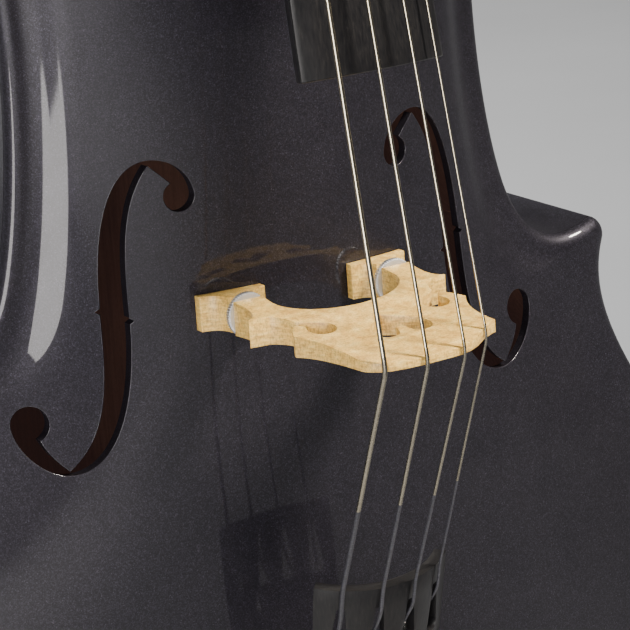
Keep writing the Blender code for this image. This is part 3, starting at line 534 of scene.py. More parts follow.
def maple(name, colours, fleck, stretch=(260, 260, 1300), roughness=0.42):
    """Maple with fine grain lines, ray flecks and slow changes of tone."""
    look = Look(name)
    grain = look.noise(look.stretched(stretch), 1.0, 4.0, 0.6)
    base = look.ramp(grain, (0.25, colours[0]), (0.5, colours[1]), (0.78, colours[2]))
    rays = look.noise(look.stretched((1500, 1500, 620)), 1.0, 2.0, 0.7)
    marks = look.ramp(rays, (0.36, 1.0 - 0.62 * fleck), (0.54, 1.0), (1.0, 1.08))
    slow = look.ramp(look.noise(look.stretched((45, 45, 60))), (0.3, 0.88), (0.7, 1.06))
    look.set(Base_Color=look.multiply(look.multiply(base, marks), slow), Roughness=roughness)
    look.set(Subsurface_Weight=0.04, Subsurface_Radius=(0.0012, 0.0007, 0.0004))
    look.bump(grain, 0.00008, 0.35)
    return look.material


def glowing(material, colour, strength):
    """The faint light that daylight through the f-holes leaves on the wood inside."""
    shader = material.node_tree.nodes["Principled BSDF"]
    shader.inputs["Emission Color"].default_value = (*colour, 1)
    shader.inputs["Emission Strength"].default_value = strength
    return material


def ebony():
    """Ebony with long fine pores and a hand-rubbed sheen."""
    look = Look("ebony_wood")
    pores = look.noise(look.stretched((1300, 1300, 45)), 1.0, 3.0, 0.6)
    dark, usual, light = (0.004, 0.004, 0.005), (0.009, 0.0085, 0.009), (0.020, 0.018, 0.017)
    rough = look.ramp(look.noise(look.stretched((90, 90, 20)), 1.0, 4.0), (0.3, 0.30), (0.7, 0.42))
    look.set(Base_Color=look.ramp(pores, (0.3, dark), (0.6, usual), (0.85, light)))
    look.set(Roughness=rough, Specular_IOR_Level=0.22)
    look.bump(pores, 0.00005, 0.35)
    return look.material


def metal(name, colour, low, high, scale, strength=0.15):
    """Metal with a fine directional finish and slow changes in its shine."""
    look = Look(name)
    lines = look.noise(look.stretched(scale))
    shaded = tuple(c * 0.86 for c in colour)
    tone = look.ramp(look.noise(look.stretched((70, 70, 70))), (0.3, shaded), (0.7, colour))
    look.set(Base_Color=tone, Roughness=look.ramp(lines, (0.3, low), (0.7, high)), Metallic=1.0)
    look.bump(lines, 0.00004, strength)
    return look.material


def fibre(name, dark, light, scale, roughness):
    """A wound or braided thread, or moulded rubber: fine matte relief in two tones."""
    look = Look(name)
    weave = look.noise(look.stretched(scale), 1.0, 2.0)
    look.set(Base_Color=look.ramp(weave, (0.35, dark), (0.65, light)), Roughness=roughness)
    look.bump(weave, 0.00015, 0.5)
    return look.material


def make_materials():
    white_maple = ((0.43, 0.225, 0.048), (0.70, 0.435, 0.108), (0.89, 0.65, 0.23))
    neck_maple = ((0.36, 0.20, 0.09), (0.50, 0.30, 0.15), (0.60, 0.39, 0.21))
    inner_spruce = ((0.17, 0.075, 0.042), (0.25, 0.115, 0.062), (0.32, 0.16, 0.09))
    inner = maple("inner_wood", inner_spruce, 0.2, (600, 600, 25), 0.75)
    windings, threads = (300, 300, 5200), (300, 300, 1500)
    silver = (0.90, 0.91, 0.93)
    silk = ((0.012, 0.012, 0.016), (0.03, 0.03, 0.04))
    braid = ((0.010, 0.010, 0.011), (0.035, 0.035, 0.037))
    rubber = ((0.018, 0.018, 0.018), (0.032, 0.032, 0.032))
    return {
        "black": metallic_black(),
        "bridge": maple("bridge_maple", white_maple, 0.6),
        "neck": maple("neck_maple", neck_maple, 0.25, (420, 420, 30), 0.38),
        "inner": glowing(inner, (0.52, 0.31, 0.29), 0.024),
        "ebony": ebony(),
        "steel": metal("wound_steel", (0.42, 0.37, 0.28), 0.19, 0.26, windings, 0.05),
        # Below the bridge the same winding is painted darker, as painted shade.
        "painted_shade_steel": metal("painted_shade_winding", (0.19, 0.175, 0.14), 0.24, 0.32, windings, 0.05),
        "polished": metal("polished_steel", (0.70, 0.70, 0.70), 0.12, 0.24, threads),
        "aluminium": metal("turned_aluminium", silver, 0.40, 0.52, (900, 900, 900), 0.06),
        "silk": fibre("string_silk", *silk, (700, 700, 2800), 0.6),
        "cord": fibre("cord_braid", *braid, (1400, 1400, 1400), 0.65),
        "rubber": fibre("tip_rubber", *rubber, (800, 800, 800), 0.8),
    }


# The body's outline and arch

# Knots of the treble half, from the bottom to the top: (x, z), the curve's two handles towards the
# next knot, the number of points on the way, and the place on the centre line it is drawn towards.
OUTLINE = (
    ((0, -355), (136, -355), (219, -288), 7, -270),
    ((219, -200), (219, -115), (141, -62), 6, -190),
    ((157, -15), (158.5, -11), (156, -6), 1, -75),
    ((152, -5), (147, -7.5), (142, -9), 1, -66),
    ((137, -9), (124, -9), (115, 3), 3, -56),
    ((110.5, 17), (104, 38), (100.5, 70), 3, -20),
    ((100.5, 100), (100.5, 128), (104, 150), 2, 90),
    ((109, 162), (113, 171.5), (118, 176), 2, 195),
    ((126, 176), (131, 176), (135, 174.5), 1, 222),
    ((139, 172), (143, 173), (144.5, 177), 1, 232),
    ((143.5, 181), (134, 212), (170, 238), 5, 240),
    ((170, 285), (170, 345), (120, 400), 8, 290),
    ((0, 400), None, None, 0, 335),
)

# Half widths of the arch along the body, where its side slope runs out.
ARCH_STATIONS = ((-355, 60), (-330, 130), (-280, 190), (-200, 211), (-100, 165), (0, 111))
ARCH_STATIONS += ((100, 97), (180, 110), (282, 162), (350, 140), (390, 80), (400, 50))
ARCH_SOFTNESS = 0.16


def half_outline():
    """[(x, z, spine z)] up the treble half."""
    found = []
    for (start, first, second, steps, spine), following in zip(OUTLINE, OUTLINE[1:]):
        steps *= OUTLINE_FINENESS
        for i, (x, z) in enumerate(bezier(start, first, second, following[0], steps)):
            found.append((x, z, spine + (following[4] - spine) * i / steps))
    found.append((*OUTLINE[-1][0], OUTLINE[-1][4]))
    return found


HALF = half_outline()


def inset(distance):
    """The treble half's outline moved inwards, as (x, z) points."""
    moved = []
    for i, (x, z, _) in enumerate(HALF):
        before = (-HALF[1][0], HALF[1][1]) if i == 0 else HALF[i - 1][:2]
        after = (-HALF[-2][0], HALF[-2][1]) if i == len(HALF) - 1 else HALF[i + 1][:2]
        first = Vector((x - before[0], z - before[1])).normalized()
        second = Vector((after[0] - x, after[1] - z)).normalized()
        inward = Vector((-first.y - second.y, first.x + second.x)).normalized()
        moved.append((max(0.0, x + inward.x * distance), z + inward.y * distance))
    moved[0] = (0.0, moved[0][1])
    moved[-1] = (0.0, moved[-1][1])
    return moved


def soft(p):
    """p where it is positive, running out softly to nothing where it is negative; soft(1) is 1."""
    e = ARCH_SOFTNESS
    return (p + math.sqrt(p * p + e * e)) / (1 + math.sqrt(1 + e * e))


def arch_share(x, z):
    """The arch's height as a share of its height under the bridge."""
    across = x / curve_through(ARCH_STATIONS, z)
    along = abs(z - ARCH_MIDDLE) / ARCH_HALF_LENGTH
    return soft(1 - across * across) * soft(1 - along**3.5)


def belly_height(x, z):
    """The belly's n away from its edge."""
    return BELLY_ARCH * (arch_share(x, z) - 1)


def shell(name, points, faces):
    """A part of the body's walls, to be black outside and bare wood inside."""
    mesh = bpy.data.meshes.new(name)
    mesh.from_pydata([tuple(p) for p in points], [], faces)
    mesh.materials.append(MATS["black"])
    mesh.materials.append(MATS["inner"])
    return new_object(name, mesh)


def plate(name, arch, side):
    """An arched plate with a rounded edge; side is -1 for the belly and 1 for the back."""
    edge_y = RIB_HEIGHT / 2 + GAP
    top_y = RIB_HEIGHT / 2 + PLATE_EDGE
    turns = [math.pi / 2 * k / EDGE_STEPS for k in range(EDGE_STEPS)]
    edges = []
    for a in turns:
        level = edge_y + (top_y - edge_y) * math.sin(a)
        edges.append((inset(EDGE_ROUNDING * (1 - math.cos(a))), level))
    flat = inset(EDGE_ROUNDING)
    points = []
    for i, (_, _, spine) in enumerate(HALF):
        inner = []
        for k in range(ARCH_RINGS + 1):
            t = (k / ARCH_RINGS) ** 1.25
            x = flat[i][0] * (1 - t)
            z = flat[i][1] + (spine - flat[i][1]) * t
            inner.append((x, z, arch * arch_share(x, z) * smooth(t / 0.16)))
        rim = [(*ring[i], y) for ring, y in edges]
        outside = [(x, z, top_y + rise) for x, z, rise in inner]
        under = [(x, z, edge_y + rise) for x, z, rise in reversed(inner)]
        points += [from_middle(x, z, side * y) for x, z, y in rim + outside + under]
    width = len(points) // len(HALF)
    on_centre_line = EDGE_STEPS + ARCH_RINGS
    faces, inside = [], []
    for i in range(len(HALF) - 1):
        for k in range(width):
            if k == on_centre_line:
                continue
            a, b = i * width + k, i * width + (k + 1) % width
            quad = (a, a + width, b + width, b)
            faces.append(quad if side < 0 else quad[::-1])
            inside.append(k > on_centre_line)
    obj = shell(name, points, faces)
    obj.data.polygons.foreach_set("material_index", [int(within) for within in inside])
    mirror = obj.modifiers.new("Other half", "MIRROR")
    mirror.merge_threshold = 1e-5
    weld = obj.modifiers.new("Centre line", "WELD")
    weld.merge_threshold = 1e-5
    return bake(obj)


# One f-hole, on the treble side: eyes and the curves between them, in (x, z).
F_EYE_TOP = ((46.3, 44.6), 5.9)
F_EYE_LOW = ((107.5, -31.0), 7.0)
NICK = 1.9


def f_hole(fine=4):
    """The closed outline, from the upper wing's tip round the upper eye, down the outer side,
    round the lower eye and back up the inner side."""
    points = [(56.6, 56.9)]
    points += arc(*F_EYE_TOP, 60, -180, 8 * fine)
    points += bezier((40.4, 44.6), (40.9, 52.0), (47.5, 59.2), (56.5, 59.2), 4 * fine)
    points += bezier((56.5, 59.2), (71.0, 59.2), (77.4, 36.0), (78.2, 8.0), 6 * fine)
    points += [(78.3, 7.6), (78.4 + NICK, 6.4), (78.4, 5.2)]
    points += bezier((78.5, 4.0), (79.0, -22.0), (81.0, -39.0), (96.0, -49.6), 6 * fine)
    points += bezier((96.0, -49.6), (99.0, -46.0), (102.0, -43.5), (104.6, -37.4), 2 * fine)
    points += arc(*F_EYE_LOW, 245, 0, 8 * fine)
    points += bezier((114.5, -31.0), (114.0, -41.0), (104.0, -51.8), (94.5, -51.8), 4 * fine)
    points += bezier((94.5, -51.8), (76.0, -51.8), (68.6, -24.0), (68.1, 0.0), 6 * fine)
    points += [(68.1, 0.2), (68.0 - NICK, 1.4), (68.0, 2.6)]
    points += bezier((68.0, 4.0), (67.8, 30.0), (66.0, 45.0), (56.6, 56.9), 5 * fine)
    return points


def other_side(outline):
    return [(-u, v) for u, v in reversed(outline)]


def f_rim(name, outline):
    """A rounded lip along the cut edge of an f-hole."""
    path = [world(x, z, belly_height(x, z) - 0.32) for x, z in outline]
    return tube(name, path + path[:1], 0.34, 2)


def make_top():
    top = plate("look_top_plate", BELLY_ARCH, -1)
    outline = f_hole()
    middle = -(RIB_HEIGHT / 2 + BELLY_ARCH / 2)
    notch = [(-20 - GAP, -360), (20 + GAP, -360), (20 + GAP, -346.7), (-20 - GAP, -346.7)]
    cutters = [
        slab("f_treble", outline, flat_on_belly(middle), 60),
        slab("f_bass", other_side(outline), flat_on_belly(middle), 60),
        slab("saddle_notch", notch, flat_on_belly(-RIB_HEIGHT / 2 - 6), 16),
    ]
    combine(top, cutters, "DIFFERENCE", "MANIFOLD")
    finish_piece(top, "black", "inner")
    for hand, loop in (("treble", outline), ("bass", other_side(outline))):
        finish_piece(f_rim(f"look_f_rim_{hand}", loop), "black", angle=60, has_node=False)


def make_back():
    back = plate("look_back_plate", BACK_ARCH, 1)
    button = [(-14, 392), (14, 392)] + arc((0, 404), 14, 0, 180, 32) + [(-14, 404)]
    middle = RIB_HEIGHT / 2 + (GAP + PLATE_EDGE) / 2
    tab = slab("button", button, flat_on_belly(middle), PLATE_EDGE - GAP - 0.4)
    combine(back, [bake(bevel(tab, 1.2, 3))], "UNION", "MANIFOLD")
    finish_piece(back, "black", "inner")


def make_ribs():
    rim = inset(0)
    loop = rim + [(-x, z) for x, z in reversed(rim[1:-1])]
    half = RIB_HEIGHT / 2
    count = len(loop)
    points = [from_middle(x, z, y) for y in (-half, half) for x, z in loop]
    faces = [(i, i + count, (i + 1) % count + count, (i + 1) % count) for i in range(count)]
    ribs = shell("look_ribs", points, faces)
    wall = ribs.modifiers.new("Thickness", "SOLIDIFY")
    wall.thickness = RIB_THICKNESS * MM
    wall.offset = -1
    wall.use_even_offset = True
    wall.material_offset = 1
    bake(ribs)
    hole = drill(PLUG_HOLE, -340, -365, Matrix.Translation(from_middle(0, 0, 0)), 64)
    combine(ribs, [hole], "DIFFERENCE")
    finish_piece(ribs, "black", "inner")


# Neck, head and fingerboard


def board_top(z):
    return NUT_HEIGHT + (NUT_LINE - z) * NECK_SLOPE


def board_share(z):
    return (NUT_LINE - z) / (BOARD_LENGTH * math.cos(math.atan(NECK_SLOPE)))


def board_half_width(z):
    return (BOARD_WIDTH_NUT + (BOARD_WIDTH_END - BOARD_WIDTH_NUT) * board_share(z)) / 2


def board_bottom(z):
    return board_top(z) - (BOARD_DEPTH_NUT + (BOARD_DEPTH_END - BOARD_DEPTH_NUT) * board_share(z))


def board_surface(x, z):
    drop = BOARD_RADIUS - math.sqrt(BOARD_RADIUS**2 - x * x)
    return board_top(z) - drop - BOARD_TILT_END * board_share(z) * x


def neck_frame(f, u, x=0.0, tilt=0.0):
    """A point f out from the playing surface at the nut and u along the neck towards the scroll."""
    angle = math.atan(NECK_SLOPE) + tilt
    z = NUT_LINE + u * math.cos(angle) + f * math.sin(angle)
    n = NUT_HEIGHT - u * math.sin(angle) + f * math.cos(angle)
    return world(x, z, n)


def head_point(f, u, x=0.0):
    """Like neck_frame(), for the pegbox, which leans back a little more than the neck."""
    return neck_frame(f, u, x, HEAD_SLOPE_EXTRA)


def make_fingerboard():
    rings = []
    low = NUT_LINE - BOARD_LENGTH * math.cos(math.atan(NECK_SLOPE))
    high = NUT_LINE - GAP
    body_edge = BODY_ABOVE_BRIDGE
    stops = [low, low + 8, low + 30, low + 90, 240, 300, 350, body_edge - 12, body_edge + 10]
    stops += [450, 500, 560, 620, 660, high]
    for z in stops:
        half = board_half_width(z)
        bottom = board_bottom(z)
        hollow = 5.0 if z < body_edge else 0.0
        over = [(half * k / 16, board_surface(half * k / 16, z)) for k in range(-16, 17)]
        steps = range(8, -9, -1)
        under = [(half * k / 8 * 0.88, bottom + hollow * (1 - (k / 8) ** 2)) for k in steps]
        lean = NECK_SLOPE if z in (low, high) else 0.0
        ring = []
        for x, n in over + under:
            shift = lean * (n - board_top(z))
            ring.append(world(x, z + shift, n - lean * shift))
        rings.append(ring)
    board = bake(bevel(loft("look_fingerboard", rings), 0.7, 3, 40))
    finish_piece(board, "ebony", angle=40)


def half_round(half, depth, steps=24):
    """Points (x, down) round the back of a neck section, from one front edge to the other."""
    found = []
    for i in range(steps + 1):
        angle = math.pi * i / steps
        found.append((half * math.cos(angle), depth * math.sin(angle) ** 0.8))
    return found


def cheek(u):
    """The pegbox's half width, u along it from the nut."""
    return 20.0 - 5.5 * u / PEGBOX_TAPER


def pegbox_rings(low, high, wall, floor, channel=False):
    """Sections across the pegbox; a channel is narrower by its walls and open at the front."""
    rings = []
    for i in range(13):
        u = low + (high - low) * i / 12
        half = cheek(u) - wall
        bow = math.sin(math.pi * u / PEGBOX_TAPER)
        back = -41 + 8 * u / PEGBOX_TAPER + 3 * bow + floor
        front = 12.0 if channel else -1.0 - 2.0 * bow
        narrow = half if channel else half - 6
        ring = [(front, -half), (back + 5, -half), (back, -narrow)]
        ring += [(f, -x) for f, x in reversed(ring)]
        rings.append([head_point(f, u, x) for f, x in ring])
    return rings


def scroll_spiral():
    """The volute: a band that winds in towards the eye while it grows wider."""
    centre = head_point(*SCROLL_CENTRE)
    angle0 = math.radians(200)
    place = axes(centre, (head_point(0, 1) - head_point(0, 0)).normalized(), (1, 0, 0))
    rings = []
    steps = 90
    for i in range(steps + 1):
        share = i / steps
        angle = angle0 - 2 * math.pi * SCROLL_TURNS * share
        outer = 32.0 * (1 - share) ** 0.72 + 7.0 * share
        depth = 15.0 * (1 - share) + 6.0
        inner = max(1.0, outer - depth)
        half = 13.2 + 18.0 * share**1.15
        section = [(outer, -1), (outer - 1.2, -1.03), (inner, -0.86)]
        section += [(radius, -side) for radius, side in reversed(section)]
        rings.append([about(place, radius, angle, side * half) for radius, side in section])
    eye = [(0, 31.6), (5.5, 31.0), (7.4, 29.5), (7.8, 27)]
    eye += [(radius, -side) for radius, side in reversed(eye)]
    hub = drill(25, 13.0, -13.0, place, 64)
    return [loft("spiral", rings), turned("eye", eye, place, 48), hub]


def make_neck():
    start = BODY_ABOVE_BRIDGE + 0.9
    rings = []
    for z in (start, 420, 450, 490, 530, 570, 610, 640, 660, 680, NUT_LINE + 14):
        half = board_half_width(z) - 0.8
        front = board_bottom(z) - GAP - 0.4
        rings.append([world(x, z, front - down) for x, down in half_round(half, HANDLE_DEPTH)])
    neck = loft("look_neck", rings)
    back_edge = -(BELLY_ARCH + 2 * PLATE_EDGE + RIB_HEIGHT)
    rings = []
    levels = [back_edge + PLATE_EDGE + 1.4, -125, -110, -95, -85, -75, -66, -58]
    for n in levels + [-51, -44, -39, -34, -30, -27, -23, -20]:
        flare = 34 * max(0.0, (n + 80) / 60) ** 2
        reach = 25 + flare + 3 * (n - back_edge) / 100
        half = 12.6 + 9 * smooth((n - back_edge) / 125)
        rings.append([world(x, start + down, n) for x, down in half_round(half, reach)])
    heel = loft("heel", rings)
    box = loft("pegbox", pegbox_rings(9.8, 142, 0.3, 0))
    throat = []
    sections = ((126, -3.4, -34, 14.0), (138, -3.6, -38, 13.2), (146, -4, -42, 12.9))
    for u, front, back, half in (*sections, (160, -8, -44, 12.4)):
        corners = ((front, -half), (back, -half), (back, half), (front, half))
        throat.append([head_point(f, u, x) for f, x in corners])
    join(neck, [heel, box, loft("throat", throat), *scroll_spiral()])
    remesh = neck.modifiers.new("Even mesh", "REMESH")
    remesh.mode = "VOXEL"
    remesh.voxel_size = NECK_VOXEL * MM
    rounding = neck.modifiers.new("Carved edges", "SMOOTH")
    rounding.factor = 0.5
    rounding.iterations = 3
    bake(neck)
    channel = loft("channel", pegbox_rings(11.5, 122, 7.5, 8.0, True))
    holes = []
    for name in STRING_NAMES:
        collar = cheek(PEG_PLACES[name][0]) + 4
        wide = [peg_radius(collar - 30) + BORE_GAP, peg_radius(collar + 30) + BORE_GAP]
        profile = [(0, 30), (wide[0], 30), (wide[1], -30), (0, -30)]
        holes.append(turned(f"peg_hole_{name}", profile, peg_frame(name), 48))
    combine(neck, [channel, *holes], "DIFFERENCE", "MANIFOLD")
    finish_piece(neck, "neck", angle=40)


def peg_radius(along):
    """The shank's radius at a distance from its collar."""
    return PEG_SHANK[0] + (PEG_SHANK[1] - PEG_SHANK[0]) * along / 60


def peg_frame(name):
    """Local Z runs along the peg from the pegbox's middle towards its head."""
    u, side = PEG_PLACES[name]
    return axes(head_point(-PEG_AXIS_DEPTH, u), (0, 0, 1), (side, 0, 0))


def peg_head(name, place):
    """A flat oval thumb piece with hollowed cheeks and a bead at its end."""
    shape = bmesh.new()
    bmesh.ops.create_uvsphere(shape, u_segments=48, v_segments=24, radius=1)
    for vertex in shape.verts:
        x, y, z = vertex.co
        hollow = 1 - 0.28 * math.exp(-((x * x + z * z) / 0.22))
        heart = 1 + 0.10 * z
        vertex.co = Vector((17.4 * x * heart, 4.6 * y * hollow, 14.4 * z)) * MM
    mesh = bpy.data.meshes.new(name)
    shape.to_mesh(mesh)
    shape.free()
    obj = new_object(name, mesh)
    obj.data.transform(place)
    return obj


def make_pegs():
    for name in STRING_NAMES:
        place = peg_frame(name)
        half = cheek(PEG_PLACES[name][0])
        start, end = half + 4, -half - 1
        collar = ((0, 10), (4.6, 10), (4.7, 7.4), (5.2, 5.6), (7.2, 4.6), (8.8, 4.2), (9.2, 3.5))
        profile = [(r, start + up) for r, up in (*collar, (9.2, 2.4), (8.6, 1.6), (7.8, 0.9))]
        thin = peg_radius(start - end)
        profile += [(peg_radius(0), start), (thin, end), (thin - 1.2, end - 0.9), (0, end - 1.2)]
        peg = turned(f"look_peg_{name}", profile, place, 64)
        head = peg_head("head", place @ Matrix.Translation((0, 0, (start + 20) * MM)))
        combine(peg, [head], "UNION")
        finish_piece(peg, "ebony", body=f"peg_{name}", angle=40)


# Strings


def string_path(k):
    """From the ball in the tailpiece over its edge, the bridge and the nut, and round the peg."""
    name = STRING_NAMES[k]
    radius = STRING_RADII[k]
    tail_x = (k - 1.5) * TAIL_SPACING
    crown_x = (k - 1.5) * BRIDGE_SPACING
    nut_x = (k - 1.5) * NUT_SPACING
    crown = CROWN_HEIGHTS[k]
    points = []
    over = radius + 0.6
    ball, hole = (SLOT_PLACE + 3, -9.5), (SLOT_PLACE - 1, -3.5)
    for down, height in (ball, hole, (10.0, over), (-1.0, over + 0.2)):
        place, lift = tail_surface(tail_x, down)
        points.append(place + lift * height * MM)
    points += [world(crown_x, BRIDGE_TAIL_FACE - 0.3, crown), world(crown_x, -2.4, crown)]
    drop = BOARD_RADIUS - math.sqrt(BOARD_RADIUS**2 - nut_x**2)
    over_nut = 0.9 + GAP + radius - drop
    points += [neck_frame(over_nut, 0.5, nut_x), neck_frame(over_nut, 6.0, nut_x)]
    points = rounded_path(points, 3.0)
    u, side = PEG_PLACES[name]
    at = side * 2.0
    shank = peg_radius(cheek(u) + 4 - abs(at)) + GAP + radius
    turns, per_turn = 1.5, 48
    for i in range(int(turns * per_turn) + 1):
        angle = math.pi * 0.5 - 2 * math.pi * i / per_turn
        f = -PEG_AXIS_DEPTH + shank * math.sin(angle)
        along = at + side * (0.5 + 2 * radius) * i / per_turn
        points.append(head_point(f, u + shank * math.cos(angle), along))
    return points


def make_strings():
    """Bare winding above the bridge, winding with painted shade below it, and silk at both ends."""
    low, high, stop = world(0, SILK_LOW, 0).z, world(0, SILK_HIGH, 0).z, STOP_Z * MM
    looks = ("steel", "silk", "painted_shade_steel")
    for k, name in enumerate(STRING_NAMES):
        string = tube(f"look_string_{name}", string_path(k), STRING_RADII[k], 4)
        for height in (low, high, stop):
            cut_across(string, height)
        for face in string.data.polygons:
            # Faces below the bridge get the darker winding, which is painted shade.
            look = "painted_shade_steel" if face.center.z < stop else "steel"
            if not low <= face.center.z <= high:
                look = "silk"
            face.material_index = looks.index(look)
        finish_piece(string, *looks, angle=60)


def cut_across(obj, z):
    shape = bmesh.new()
    shape.from_mesh(obj.data)
    everything = shape.verts[:] + shape.edges[:] + shape.faces[:]
    bmesh.ops.bisect_plane(shape, geom=everything, plane_co=(0, 0, z), plane_no=(0, 0, 1))
    shape.to_mesh(obj.data)
    shape.free()


# Bridge


def bridge_thickness(n):
    """The bridge tapers slowly up to its waist and faster above it."""
    if n < 45:
        return 12.6 - 4.2 * max(0.0, n - 14) / 31
    return 8.4 - 5.8 * (n - 45) / 47


def bridge_side(crown, sign):
    """The outline (x, n) of one side, from the middle of the arch to the given crown points."""
    points = [(0, 37.4)]
    points += bezier((0.6, 37.4), (14.0, 37.4), (25.4, 30.5), (26.3, 21.5), 18)
    points += bezier((26.3, 21.5), (26.4, 18.0), (26.2, 15.0), (25.7, LEG_BOTTOM), 4)
    points += [(25.7, LEG_BOTTOM), (37.8, LEG_BOTTOM)]
    points += bezier((37.4, 15.5), (36.2, 23.0), (37.4, 28.6), (42.0, 30.3), 14)
    points += [(42.0, 30.3)]
    points += bezier((34.6, 31.4), (32.6, 32.4), (29.9, 36.0), (29.3, 39.8), 8)
    points += [(29.3, 39.9)]
    points += bezier((28.8, 40.6), (27.4, 42.2), (23.5, 43.2), (19.9, 46.5), 6)
    points += arc((24.0, 50.0), 5.4, 217, -35, 26)
    points += bezier((28.4, 46.9), (28.5, 46.0), (28.4, 45.0), (29.1, 44.3), 4)
    points += bezier((29.1, 44.3), (30.0, 43.2), (31.0, 43.0), (31.9, 44.0), 4)
    points += bezier((31.9, 44.0), (33.4, 45.8), (35.0, 48.6), (36.4, 51.3), 6)
    points += bezier((36.3, 51.7), (31.4, 58.5), (30.0, 66.0), crown[0], 14)
    points += crown
    return [(sign * x, n) for x, n in points]


def heart():
    right = [(0, 49.5)]
    right += bezier((0.5, 50.2), (5.0, 55.4), (12.9, 59.2), (11.9, 65.2), 16)
    right += bezier((11.9, 65.2), (11.2, 70.8), (4.0, 71.2), (2.5, 67.0), 12)
    right += bezier((2.5, 67.0), (1.9, 65.0), (1.5, 63.4), (0.9, 61.6), 4)
    return right + [(-x, n) for x, n in reversed(right[1:])]


BASS_CROWN = [(28.6, 82.6), (27.9, 84.2), (26.3, 86.2), (24.0, 88.3), (21.0, 89.4)]
BASS_CROWN += [(16.0, 90.5), (8.0, 91.0)]
TREBLE_CROWN = [(32.0, 75.8), (30.6, 76.2), (28.2, 77.6), (24.0, 80.3), (17.5, 85.6)]
TREBLE_CROWN += [(13.0, 88.4), (8.0, 90.4)]


def make_bridge():
    outline = bridge_side(TREBLE_CROWN, 1) + list(reversed(bridge_side(BASS_CROWN, -1)[1:]))
    place = axes(world(0, 0, 0), (1, 0, 0), (0, 0, -1))
    bridge = slab("look_bridge", outline, place, 40, holes=(heart(),))
    faces = [(BRIDGE_TAIL_FACE, 5), (BRIDGE_TAIL_FACE, 100)]
    levels = (100, 86, 74, 62, 53, 48, 45, 42, 37, 30, 22, 14, 5)
    faces += [(BRIDGE_TAIL_FACE + bridge_thickness(n), n) for n in levels]
    taper = loft("taper", [[world(x, z, n) for z, n in faces] for x in (-60, 60)])
    combine(bridge, [taper], "INTERSECT")
    bore = STUD_RADIUS + BORE_GAP
    bores = [drill(bore, STUD_SPAN[1] + 0.6, 0, stud_frame(sign)) for sign in (-1, 1)]
    combine(bridge, bores, "DIFFERENCE")
    bake(bevel(bridge, 0.35, 2, 30))
    finish_piece(bridge, "bridge", body="bridge")


def stud_frame(sign):
    """On the belly's n = 0 under a leg, with local Z out of the belly."""
    middle = BRIDGE_TAIL_FACE + FOOT_THICKNESS / 2
    return axes(world(sign * LEG_MIDDLE, middle, 0), (1, 0, 0), (0, -1, 0))


def foot_outline():
    inner, outer = BRIDGE_FOOT_SPAN
    points = []
    for i in range(13):
        x = inner + (outer - inner) * i / 12
        points.append((x, belly_height(x, 0) + GAP))
    toe = points[-1][1] + 3.7
    edge = (outer - 7.6, FOOT_TOP)
    points += bezier((outer, toe), (outer - 4.2, toe + 0.5), (outer - 7.4, toe + 3.0), edge, 14)
    points += [edge, (inner + 7.8, FOOT_TOP)]
    heel = points[0][1] + 3.5
    edge = (inner + 7.6, FOOT_TOP - 0.5)
    points += bezier(edge, (inner + 7.0, heel + 2.4), (inner + 5.0, heel + 0.5), (inner, heel), 12)
    points += [(inner, heel)]
    return points


def make_feet_and_wheels():
    middle = BRIDGE_TAIL_FACE + FOOT_THICKNESS / 2
    place = axes(world(0, middle, 0), (1, 0, 0), (0, 0, -1))
    for name, sign in (("bass", -1), ("treble", 1)):
        outline = [(sign * x, n) for x, n in foot_outline()]
        foot = slab(f"look_bridge_foot_{name}", outline, place, FOOT_THICKNESS)
        combine(foot, [drill(STUD_RADIUS + BORE_GAP, 20, 1.4, stud_frame(sign))], "DIFFERENCE")
        bake(bevel(foot, 0.3, 2, 30))
        finish_piece(foot, "bridge")
        make_wheel(name, sign)


def thread(high, low):
    """Profile points of a fine thread on a stud, from high down to low."""
    found = []
    while high > low:
        found += [(STUD_RADIUS - 0.05, high), (STUD_RADIUS - 0.3, high - THREAD_PITCH / 2)]
        high -= THREAD_PITCH
    return found


def make_wheel(name, sign):
    """A knurled wheel on a stud that is threaded above and below it."""
    low, high = WHEEL_SPAN
    foot, top = STUD_SPAN
    r = WHEEL_RADIUS
    profile = [(0, top), (STUD_RADIUS - 0.4, top)] + thread(top - 0.5, high + 0.6)
    profile += [(STUD_RADIUS, high + 0.05), (3.1, high + 0.02), (3.3, high), (r - 1.0, high)]
    profile += [(r - 0.45, high - 0.15), (r, high - 0.5), (r, low + 0.5), (r - 0.45, low + 0.15)]
    profile += [(r - 1.0, low), (STUD_RADIUS, low)] + thread(low - 0.4, foot + 0.6)
    profile += [(STUD_RADIUS - 0.5, foot), (0, foot)]
    look = f"look_thumbwheel_{name}"
    wheel = turned(look, profile, stud_frame(sign), knurl=r - 0.1, teeth=52, depth=0.4)
    finish_piece(wheel, "aluminium", body=f"thumbwheel_{name}")


# Tailpiece and fine tuners


def tail_point(v, lift=0.0, x=0.0):
    """v down the tailpiece from its upper end, lift out of its top line."""
    z = TAIL_TOP[0] - v * math.cos(TAIL_SLOPE) - lift * math.sin(TAIL_SLOPE)
    n = TAIL_TOP[1] - v * math.sin(TAIL_SLOPE) + lift * math.cos(TAIL_SLOPE)
    return world(x, z, n)


def tail_radius(v):
    return TAIL_RADIUS + 14 * v / TAIL_LENGTH


def tail_half_width(v):
    return 29.0 - 12.0 * smooth(v / TAIL_LENGTH) ** 0.8


def tail_surface(x, v):
    """The point on the tailpiece's outer surface and its outward direction."""
    radius = tail_radius(v)
    drop = radius - math.sqrt(radius * radius - x * x)
    point = tail_point(v, -drop, x)
    out = point - tail_point(v, -radius, 0)
    return point, out.normalized()


def tail_section(v, shell=TAIL_SHELL, lift=0.0, share=1.0, steps=14):
    """An arched section, its outer face lowered by lift and its width scaled by share."""
    half = tail_half_width(v) * share
    radius = tail_radius(v)
    outer, inner = [], []
    for k in range(-steps, steps + 1):
        angle = math.asin(half / radius) * k / steps
        for side, reach in ((outer, radius - lift), (inner, radius - shell)):
            side.append((reach * math.sin(angle), reach * math.cos(angle) - radius))
    return [tail_point(v, height, x) for x, height in outer + inner[::-1]]


